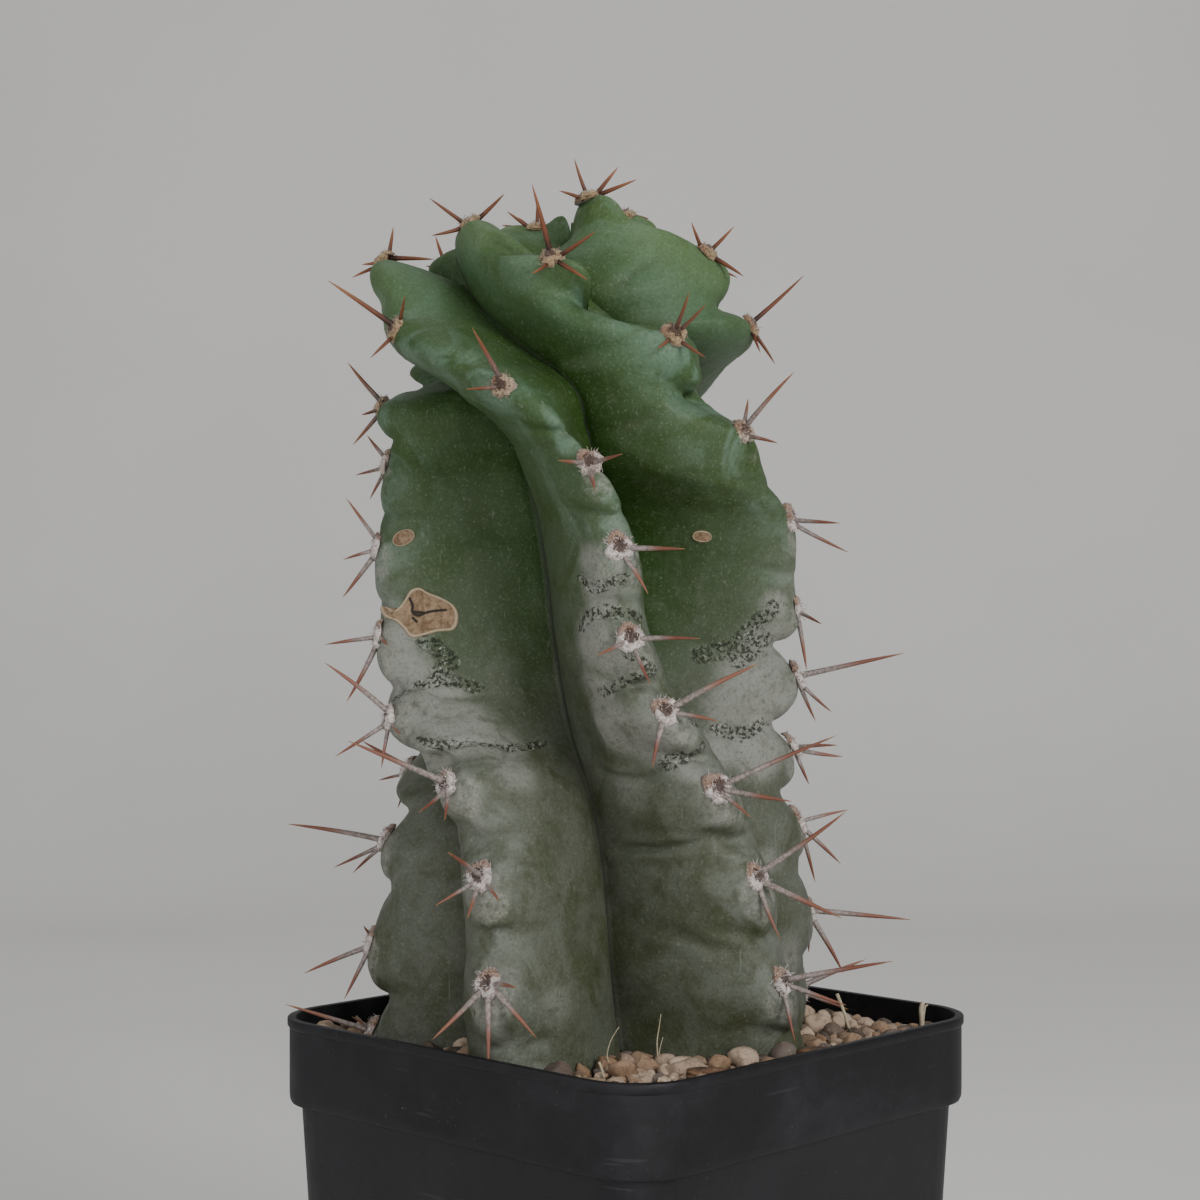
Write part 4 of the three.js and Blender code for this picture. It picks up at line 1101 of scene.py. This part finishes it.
def make_chip(name, right, toward, turn, size, seed):
    """A flat chip of bark, in worn layers."""
    long, wide, thick = size
    ball, triangles = icosphere(4)
    box = np.sign(ball) * np.abs(ball) ** 0.55
    box = box / np.abs(box).max(axis=0) * [long / 2, wide / 2, thick / 2]
    outline = 1 + 0.12 * np.sin(3 * np.arctan2(box[:, 1] * 2, box[:, 0]) + seed)
    box[:, :2] *= (outline / 1.12)[:, None]
    grain = waves(box * [0.25, 1, 1.6], 0.9, seed, 3)
    box = box * (0.94 + 0.05 * grain)[:, None]
    level = POT_HEIGHT + MIX_LEVEL + GAP + thick / 2
    where = RIGHT * right + TOWARD * toward + UP * level
    box = turned(box, VIEW_TURN + math.radians(turn))
    return mesh_object(name, box + where, triangles.tolist())


# Dry bits that lie on the grit: the pixels they run through with their heights over the mix,
# and their thickness at the two ends, in millimetres.
DRY_BITS = [
    ([(610, 1066, 0.8), (607, 1055, 3), (611, 1040, 6), (619, 1027, 9)], 0.3, 0.14),
    ([(658, 1060, 0.8), (657, 1042, 5), (659, 1028, 8), (661, 1014, 11)], 0.36, 0.14),
    ([(659, 1056, 0.8), (660, 1048, 3), (663, 1037, 5)], 0.26, 0.14),
    ([(604, 1078, 0.6), (602, 1070, 2), (599, 1062, 4)], 0.5, 0.55),
    ([(356, 1016, 2.0), (362, 1022, 1.4), (369, 1030, 0.8)], 0.5, 0.35),
    ([(849, 1029, 1.0), (844, 1012, 5), (837, 994, 9)], 0.6, 0.8),
    ([(921, 1036, 0.0), (922, 1022, 3), (921, 1010, 6), (923, 1002, 8)], 1.1, 0.9),
    ([(921, 1036, 0.0), (923, 1020, 3), (925, 1007, 6), (928, 1005, 7)], 0.7, 0.3),
]


def make_dry_bits():
    paths, radii = [], []
    t = np.linspace(0, 1, 9)
    for stops, start, end in DRY_BITS:
        foot = on_mix(stops[0][0], stops[0][1], MIX_LEVEL + stops[0][2])
        far = (EYE - foot) @ TOWARD / FOCAL_PIXELS
        count = len(stops) - 1
        rows = [[k / count, *(EYE + sight(px, py) * far)] for k, (px, py, _) in enumerate(stops)]
        paths.append(np.stack([along(rows, t, c) for c in (1, 2, 3)], axis=1))
        radii.append(mix(start, end, t) / 2)
    return mesh_object("dry_bits", *tubes(np.array(paths), np.array(radii), 6))


# Scars

def oval(px, py, half_x, half_y, tilt):
    """Pixels round an oval mark."""
    around = np.linspace(0, 2 * PI, 12)[:-1]
    flat = [(half_x * math.cos(a), half_y * math.sin(a), 0) for a in around]
    return [(px + x, py + y) for x, y, _ in turned(flat, math.radians(tilt))]


# Scars: the pixels of an outline and its middle, and of the cracks inside.
SCARS = [
    {
        "middle": (427, 613),
        "line": [
            (404, 600), (410, 590), (419, 587), (428, 592), (443, 598), (455, 606), (459, 618),
            (454, 630), (438, 632), (424, 636), (411, 638), (403, 629), (394, 621), (384, 617),
            (379, 607), (385, 608), (391, 612), (398, 608),
        ],
        "cracks": [
            [(412, 612), (424, 613), (434, 611), (446, 610)], [(412, 612), (413, 606), (410, 598)],
            [(414, 614), (418, 616), (424, 614)], [(413, 618), (417, 622)],
        ],
    },
    {"middle": (404, 538), "line": oval(404, 538, 12, 7.5, -28), "cracks": []},
    {"middle": (702, 536), "line": oval(702, 536, 10, 5.5, 5), "cracks": []},
]
SCAR_RINGS = 22
SCAR_SIDES = 90
CRACK_REACH = 1.3


def pixel_gap(pixels, line):
    """How far pixels lie from a line of pixels."""
    best = np.full(len(pixels), 1e9)
    for a, b in zip(line, line[1:]):
        best = np.minimum(best, segment_distance(pixels, np.array(a, float), np.array(b, float))[0])
    return best


def make_scars(tree):
    points, faces, edges, cracks = [], [], [], []
    for scar in SCARS:
        closed = [[k, *pixel] for k, pixel in enumerate(scar["line"] + scar["line"][:1])]
        turn = np.linspace(0, len(scar["line"]), SCAR_SIDES + 1)[:-1]
        outline = np.stack([along(closed, turn, 1), along(closed, turn, 2)], axis=1)
        middle = np.array(scar["middle"], float)
        base = len(points)
        for k in range(SCAR_RINGS + 1):
            r = (k / SCAR_RINGS) ** 0.8
            pixels = middle + (outline - middle) * r
            crack = np.zeros(SCAR_SIDES)
            for line in scar["cracks"]:
                crack = np.maximum(crack, np.exp(-((pixel_gap(pixels, line) / CRACK_REACH) ** 2)))
            rim = math.exp(-(((r - 0.93) / 0.06) ** 2))
            for pixel, depth in zip(pixels, crack):
                where, normal = seen_at(tree, *pixel)
                if where is None:
                    where, normal = np.array(points[-1]), TOWARD
                lift = 0.22 + 0.2 * rim - 0.16 * depth - 0.5 * float(smooth(np.array(r), 0.95, 1.0))
                points.append(where + normal * lift)
                edges.append(rim)
                cracks.append(depth)
        for k in range(SCAR_RINGS):
            for n in range(SCAR_SIDES):
                t = (n + 1) % SCAR_SIDES
                low = base + k * SCAR_SIDES
                faces.append([low + n, low + SCAR_SIDES + n, low + SCAR_SIDES + t, low + t])
    return mesh_object("skin_scars", points, faces, {"rim": edges, "crack": cracks})


# Materials

def rgb(code):
    """A colour as it shows on a screen, as the shader's linear values."""
    parts = [int(code[i : i + 2], 16) / 255 for i in (0, 2, 4)]
    linear = [c / 12.92 if c <= 0.04045 else ((c + 0.055) / 1.055) ** 2.4 for c in parts]
    return (*linear, 1.0)


class Look:
    """A material built up from procedural nodes. Its colour is laid on in coats."""

    def __init__(self, name):
        self.material = bpy.data.materials.new(name)
        self.material.use_nodes = True
        self.tree = self.material.node_tree
        self.shader = self.tree.nodes["Principled BSDF"]
        self.place = self.tree.nodes.new("ShaderNodeTexCoord").outputs["Object"]
        self.coat = None
        self.relief = None

    def put(self, socket, value):
        if isinstance(value, bpy.types.NodeSocket):
            self.tree.links.new(value, socket)
        else:
            socket.default_value = value

    def node(self, kind, output, inputs, **settings):
        """An output of a new node, whose inputs are given by name or number."""
        made = self.tree.nodes.new("ShaderNode" + kind)
        for key, value in settings.items():
            setattr(made, key, value)
        for key, value in inputs.items():
            self.put(made.inputs[key], value)
        return made.outputs[output]

    def math(self, how, a, b):
        return self.node("Math", 0, {0: a, 1: b}, operation=how)

    def both(self, *values):
        """The product of the values."""
        out = values[0]
        for value in values[1:]:
            out = self.math("MULTIPLY", out, value)
        return out

    def plus(self, a, b, weight=1.0):
        """The one value and a share of the other."""
        return self.math("ADD", a, self.both(b, weight))

    def swing(self, value, width):
        """A value about 0.5 as one about 0, over a width."""
        return self.both(self.math("SUBTRACT", value, 0.5), width)

    def value(self, name):
        return self.node("Attribute", "Fac", {}, attribute_name=name)

    def stretch(self, scale, turn=(0, 0, 0)):
        return self.node("Mapping", 0, {"Vector": self.place, "Scale": scale, "Rotation": turn})

    def noise(self, size, detail=4.0, rough=0.55, twist=0.0, place=None):
        """Noise in lumps of a size in millimetres, about 0 to 1."""
        make = {"Scale": 1 / (size * MM), "Detail": detail, "Roughness": rough, "Distortion": twist}
        return self.node("TexNoise", "Fac", {"Vector": place or self.place, **make})

    def cells(self, size, place=None):
        """How far a point lies from the nearest of scattered dots."""
        make = {"Vector": place or self.place, "Scale": 1 / (size * MM)}
        return self.node("TexVoronoi", "Distance", make)

    def band(self, value, low, high):
        """0 below low, 1 above high, smooth between; the other way round if low is above high."""
        ends = {"From Min": min(low, high), "From Max": max(low, high)}
        ends.update({"To Min": float(low > high), "To Max": float(low < high)})
        make = {"Value": value, **ends}
        return self.node("MapRange", "Result", make, interpolation_type="SMOOTHSTEP")

    def blend(self, a, b, share):
        """A mix of two colours, each a socket or the code that shows it on a screen."""
        a, b = (rgb(colour) if isinstance(colour, str) else colour for colour in (a, b))
        return self.node("Mix", 2, {0: share, 6: a, 7: b}, data_type="RGBA")

    def paint(self, colour, *shares):
        """A coat of a colour over what is there, as far as its shares multiplied say."""
        self.coat = self.blend(self.coat, colour, self.both(*shares))

    def bump(self, height, depth):
        """Relief of a depth in millimetres, over what relief there is."""
        make = {"Strength": 1.0, "Distance": depth * MM, "Height": height}
        if self.relief is not None:
            make["Normal"] = self.relief
        self.relief = self.node("Bump", 0, make)

    def finish(self, rough):
        self.put(self.shader.inputs["Base Color"], self.coat)
        self.put(self.shader.inputs["Roughness"], rough)
        if self.relief is not None:
            self.put(self.shader.inputs["Normal"], self.relief)
        return self.material


def skin_look():
    look = Look("cactus_skin")
    level, flank_, place = look.value("level"), look.value("flank"), look.value("place")
    fleck, crease = look.value("fleck"), look.value("crease")
    cloud = look.noise(26, 3)
    patch = look.noise(9, 4, 0.6, 0.6)
    fine = look.noise(1.6, 5, 0.6)
    # The ground colours, greyer at the foot and greener at the crown, and the bloom on them
    high = look.band(look.plus(level, cloud, 0.12), 0.34, 0.86)
    look.coat = look.blend("53574a", "39512c", high)
    look.paint(look.blend("444934", "344d1d", high), look.band(patch, 0.42, 0.66))
    film = look.band(look.noise(14, 4, 0.6, 1.2), 0.44, 0.62)
    bloom = look.blend("6f736a", "5d7863", high)
    look.paint(bloom, film, look.band(flank_, 0.75, 0.05), 0.85)
    veil = look.both(look.band(place, 0.6, 0.76), look.band(cloud, 0.38, 0.6))
    look.paint("49674f", veil, look.band(flank_, 0.95, 0.6), 0.5)
    # Chalk on the middle of the stem
    uneven = look.swing(patch, 0.6)
    middle = look.both(look.band(level, 0.22, 0.34), look.band(level, 0.6, 0.5))
    thin = look.both(look.band(look.plus(flank_, uneven), 0.4, 0.1), middle, 0.35)
    dusty = look.band(look.plus(look.value("chalk"), uneven), 0.12, 0.95)
    dusty = look.both(look.math("MAXIMUM", dusty, thin), look.band(fine, 0.1, 0.55))
    look.paint("8c8c85", dusty, 0.8)
    # Deeper, darker green down in the furrows, partly the skin's own green where no dust settles
    # and partly painted shade, and yellower tips in the crown
    stream = look.noise(5, 4, 0.6, 0.4, look.stretch((1, 1, 0.22)))
    # The mask of the furrows' deeper green and painted shade, left off the pale flank
    furrow_green_and_shade = look.value("furrow_green_and_shade")
    green = look.both(furrow_green_and_shade, look.band(place, 0.3, 0.5), look.band(place, 0.8, 0.66))
    look.paint("263b10", look.band(flank_, 0.3, 0.8), look.band(stream, 0.2, 0.55), green, 0.8)
    look.paint("24400c", look.band(flank_, 0.72, 0.94), green, 0.7)
    tip = look.both(look.band(place, 0.62, 0.95), look.band(flank_, 0.8, 0.1))
    look.paint("6f8244", tip, look.band(cloud, 0.35, 0.6), 0.4)
    # Cork under the areoles, speckled borders, and painted shade in the creases
    rough_edge = look.plus(look.value("cork"), look.swing(patch, 1.3))
    white = look.both(look.band(rough_edge, 0.5, 0.85), look.band(fine, 0.3, 0.6))
    look.paint(look.blend("7c7d74", "9d9b92", look.band(look.noise(0.5, 3), 0.35, 0.7)), white, 0.6)
    flakes = look.band(look.noise(0.9, 3, 0.7), 0.44, 0.34)
    look.paint("9fa097", look.band(fleck, 0.2, 0.6), flakes, 0.8)
    grime = look.both(look.band(fleck, 0.25, 0.6), look.band(look.noise(0.75, 3, 0.7), 0.5, 0.57))
    look.paint("1c2113", grime, 0.92)
    # Painted shade in the creases
    look.paint("3a4128", look.band(crease, 0.5, 1.0), 0.4)
    # Fine speckles, stains, dots, sparks and scratches all over, and a line of painted shade along
    # each furrow's bottom
    tiny = look.noise(0.55, 4, 0.7)
    look.paint("262e18", look.band(tiny, 0.5, 0.34), 0.3)
    look.paint("8e9586", look.band(tiny, 0.55, 0.72), 0.3)
    stain = look.band(look.noise(6, 5, 0.7, 0.5), 0.5, 0.68)
    look.paint("33381f", stain, look.band(level, 0.62, 0.3), 0.45)
    dots = look.band(look.cells(1.5), 0.16, 0.08)
    look.paint("2e3422", dots, look.band(look.noise(4, 2), 0.45, 0.62), 0.65)
    sparks = look.cells(1.1, look.stretch((1, 1, 1), (0.7, 0.4, 0)))
    look.paint("6c7462", look.band(sparks, 0.1, 0.04), 0.3)
    for turn in ((0.5, 0.2, 0.9), (1.2, 0.8, 0.1), (0.2, 1.4, 2.1)):
        hair = look.noise(1.1, 2, 0.5, 0.3, look.stretch((1, 1, 0.05), turn))
        some = look.band(look.noise(7, 2), 0.52, 0.62)
        look.paint("7c8476", look.band(hair, 0.7, 0.74), some, 0.35)
    look.paint("6c705e", look.band(fine, 0.5, 0.8), 0.2)
    # Painted shade: a dark line along the bottom of each furrow
    look.paint("171d0d", look.band(flank_, 0.975, 1.0), 0.85)
    look.bump(look.noise(3.2, 5, 0.62), 0.2)
    look.bump(look.noise(0.5, 3, 0.6), 0.05)
    look.bump(look.both(grime, -1.0), 0.15)
    look.shader.inputs["Specular IOR Level"].default_value = 0.28
    return look.finish(look.plus(0.46, look.plus(white, fine), 0.16))


def scar_look():
    look = Look("old_scar")
    look.coat = look.blend("644c33", "8f785e", look.band(look.noise(1.6, 4, 0.65, 0.8), 0.35, 0.65))
    look.paint("b3a287", look.band(look.value("rim"), 0.3, 0.9), 0.75)
    look.paint("20150d", look.band(look.value("crack"), 0.2, 0.6))
    look.paint("4c3a26", look.band(look.noise(0.4, 3, 0.7), 0.62, 0.7), 0.5)
    look.bump(look.noise(0.5, 4, 0.65), 0.12)
    return look.finish(0.75)


def wool_look(name, hair):
    look = Look(name)
    patch = look.noise(0.5, 4, 0.7)
    old = look.blend("8f7466", "d2c9c4", look.band(patch, 0.32, 0.56))
    new = look.blend("6b5236", "ad9472", look.band(patch, 0.3, 0.65))
    look.coat = look.blend(old, new, look.band(look.value("age"), 0.5, 0.72))
    if not hair:
        cork = look.blend("5d4030", "8f6f55", look.band(patch, 0.35, 0.6))
        cap = look.plus(look.value("cap"), look.noise(0.9, 3, 0.6), 0.8)
        look.paint(cork, look.band(cap, 0.6, 0.85), 0.85)
        pit = look.plus(look.value("pit"), look.noise(0.7, 3, 0.6), 0.9)
        look.paint("3d2419", look.band(pit, 0.66, 0.95), 0.9)
    look.bump(look.noise(0.28, 3, 0.7), 0.12)
    look.shader.inputs["Sheen Weight"].default_value = 0.3
    return look.finish(0.95)


def spine_look():
    look = Look("spine")
    tint, streak = look.value("tint"), look.noise(0.6, 3, 0.6)
    t = look.plus(look.value("along"), look.swing(streak, 0.25))
    old = look.blend("6f655f", "9a8d88", look.band(streak, 0.35, 0.65))
    old = look.blend(old, look.blend("6e4030", "875a48", tint), look.band(t, 0.3, 0.65))
    old = look.blend(old, "8a6238", look.band(t, 0.84, 1.0))
    new = look.blend("2a130c", "6a3c24", look.band(t, 0.06, 0.4))
    new = look.blend(new, "8f5c38", look.both(look.band(t, 0.4, 0.9), tint))
    look.coat = look.blend(old, new, look.band(look.value("age"), 0.55, 0.75))
    look.bump(look.noise(0.35, 2, 0.6), 0.04)
    look.shader.inputs["Specular IOR Level"].default_value = 0.4
    return look.finish(0.5)


def stone_look(name):
    look = Look(name)
    tint, shade = look.value("tint"), look.value("shade")
    look.coat = look.blend("a08a76", "c2ac96", shade)
    look.paint(look.blend("8a6d52", "9d8168", shade), look.band(tint, 0.25, 0.5))
    look.paint(look.blend("453a31", "6e625a", shade), look.band(tint, 0.6, 0.8))
    look.paint("6a523c", look.band(look.noise(1.4, 5, 0.65, 0.5), 0.48, 0.66), 0.5)
    look.paint("cdbba6", look.band(look.noise(0.5, 4, 0.7), 0.55, 0.7), 0.4)
    look.paint("3a3028", look.band(look.noise(0.8, 3, 0.7), 0.62, 0.7), 0.6)
    look.bump(look.noise(0.9, 5, 0.65), 0.22)
    look.bump(look.noise(0.25, 3, 0.6), 0.05)
    return look.finish(0.85)


def soil_look():
    look = Look("dark_mix")
    look.coat = look.blend("2a221b", "5b4a3a", look.band(look.noise(1.5, 5, 0.7), 0.4, 0.7))
    look.bump(look.noise(0.8, 5, 0.7), 0.5)
    return look.finish(0.95)


def bark_look():
    look = Look("bark_piece")
    grain = look.noise(0.8, 5, 0.65, 0.4, look.stretch((0.3, 0.3, 1.2)))
    look.coat = look.blend("3c2a1e", "7d5d43", look.band(grain, 0.36, 0.66))
    look.paint("a58a6b", look.band(look.noise(1.2, 3), 0.58, 0.72), 0.5)
    look.bump(grain, 0.4)
    return look.finish(0.9)


def dry_look():
    look = Look("dry_stalk")
    look.coat = look.blend("8f8168", "cfc4a8", look.noise(1.0, 3))
    look.bump(look.noise(0.3, 3), 0.05)
    return look.finish(0.8)


def pot_look():
    look = Look("black_plastic")
    cloud = look.noise(30, 4, 0.6)
    dust = look.both(look.band(look.noise(9, 6, 0.7, 0.8), 0.38, 0.75), look.band(cloud, 0.3, 0.7))
    look.coat = look.blend("0b0b0e", "151519", look.band(cloud, 0.35, 0.65))
    look.paint("38363a", dust, 0.5)
    specks = look.band(look.noise(0.6, 3, 0.8), 0.66, 0.74)
    look.paint("857c74", specks, look.band(look.noise(12, 3), 0.45, 0.6), 0.6)
    marks = 0.0
    for turn in ((0.0, 0.3, 0.0), (0.4, 0.0, 0.8), (0.2, 1.2, 0.4)):
        line = look.noise(1.6, 2, 0.5, 0.2, look.stretch((0.06, 0.06, 1), turn))
        line = look.both(look.band(line, 0.69, 0.73), look.band(look.noise(16, 3), 0.5, 0.62))
        marks = look.math("MAXIMUM", marks, line)
    look.paint("4b494e", marks, 0.2)
    look.bump(look.noise(0.5, 4, 0.6), 0.03)
    look.bump(look.noise(22, 3, 0.5), 0.5)
    look.shader.inputs["Specular IOR Level"].default_value = 0.3
    return look.finish(look.plus(0.5, dust, 0.3))


def floor_look():
    look = Look("pale_floor")
    pale = rgb("e8e6e2")
    darker = tuple(c * 0.97 for c in pale[:3]) + (1.0,)
    look.coat = look.blend(pale, darker, look.band(look.noise(160, 2), 0.3, 0.7))
    return look.finish(0.9)


# Putting it together

def settle(piece, look, slot, *nodes):
    piece.data.materials.clear()
    piece.data.materials.append(look)
    if nodes:
        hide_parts(*nodes)
    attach(piece, "root")


skin, skin_tree = make_skin()
settle(skin, skin_look(), "stem_skin", "stem")
settle(make_scars(skin_tree), scar_look(), "stem_skin")
settle(make_spines(), spine_look(), "stem_skin")
cushions, hairs = make_wool()
settle(cushions, wool_look("wool", False), "stem_skin")
settle(hairs, wool_look("wool_hair", True), "stem_skin")

large_grit, small_grit = make_grit(skin_grid(6, 10)[0][0])
settle(make_soil(), soil_look(), "grit", "potting_mix")
settle(large_grit, stone_look("grit_stone"), "grit")
settle(small_grit, stone_look("grit_crumb"), "grit")
settle(make_dry_bits(), dry_look(), "bark")
for seed, (name, node, *shape) in enumerate(CHIPS, 2):
    settle(make_chip(name, *shape, seed), bark_look(), "bark", node)
settle(make_pot(), pot_look(), "pot_plastic", "pot")


# The studio, in metres

STAGE_FRONT = -4.0
STAGE_HALF_WIDTH = 3.5
WALL_START = 0.75
WALL_CURVE = 0.3
WALL_TOP = 2.2
CURVE_STEPS = 12
LIGHT_TARGET = Vector((0, 0, 0.17))
SENSOR = 36.0

# The lights: a name, a place to the right, toward the viewer and up, a size and a power.
LIGHTS = [
    ("key", 0.6, 0.75, 0.6, 0.45, 7.4),
    ("fill", -0.8, 0.45, 0.4, 0.6, 2.4),
    ("top", -0.1, -0.2, 1.15, 0.8, 1.7),
    ("front", 0.1, 1.3, 0.3, 0.5, 4.4),
]
SKY = (0.9, 0.93, 1.0, 1.0)
SKY_STRENGTH = 0.28


def make_stage():
    """A pale floor that curves up into a pale wall behind."""
    profile = [(STAGE_FRONT, 0.0), (WALL_START, 0.0)]
    for k in range(1, CURVE_STEPS + 1):
        angle = PI / 2 * k / CURVE_STEPS
        far = WALL_START + WALL_CURVE * math.sin(angle)
        profile.append((far, WALL_CURVE - WALL_CURVE * math.cos(angle)))
    profile.append((WALL_START + WALL_CURVE, WALL_TOP))
    points = [
        (-TOWARD * far + RIGHT * wide + UP * high) / MM
        for far, high in profile
        for wide in (-STAGE_HALF_WIDTH, STAGE_HALF_WIDTH)
    ]
    faces = [[2 * k, 2 * k + 1, 2 * k + 3, 2 * k + 2] for k in range(len(profile) - 1)]
    floor = mesh_object("studio_floor", points, faces)
    floor.data.materials.append(floor_look())


def aim(thing, where, target):
    thing.location = where
    thing.rotation_euler = (target - where).to_track_quat("-Z", "Y").to_euler()


make_stage()
for name, right, toward, up, size, power in LIGHTS:
    lamp = bpy.data.lights.new(name, "AREA")
    lamp.shape = "DISK"
    lamp.size = size
    lamp.energy = power
    where = Vector(RIGHT * right + TOWARD * toward + UP * up)
    aim(add_object(name, lamp), where, LIGHT_TARGET)
world = bpy.data.worlds.new("studio")
world.use_nodes = True
sky = world.node_tree.nodes["Background"]
sky.inputs["Color"].default_value = SKY
sky.inputs["Strength"].default_value = SKY_STRENGTH
bpy.context.scene.world = world

lens = bpy.data.cameras.new("camera")
lens.sensor_width = SENSOR
lens.lens = SENSOR * FOCAL_PIXELS / PICTURE
lens.clip_start = 0.01
lens.clip_end = 20.0
camera = add_object("camera", lens)
eye = Vector(EYE * MM)
aim(camera, eye, eye - Vector(TOWARD))
bpy.context.scene.camera = camera
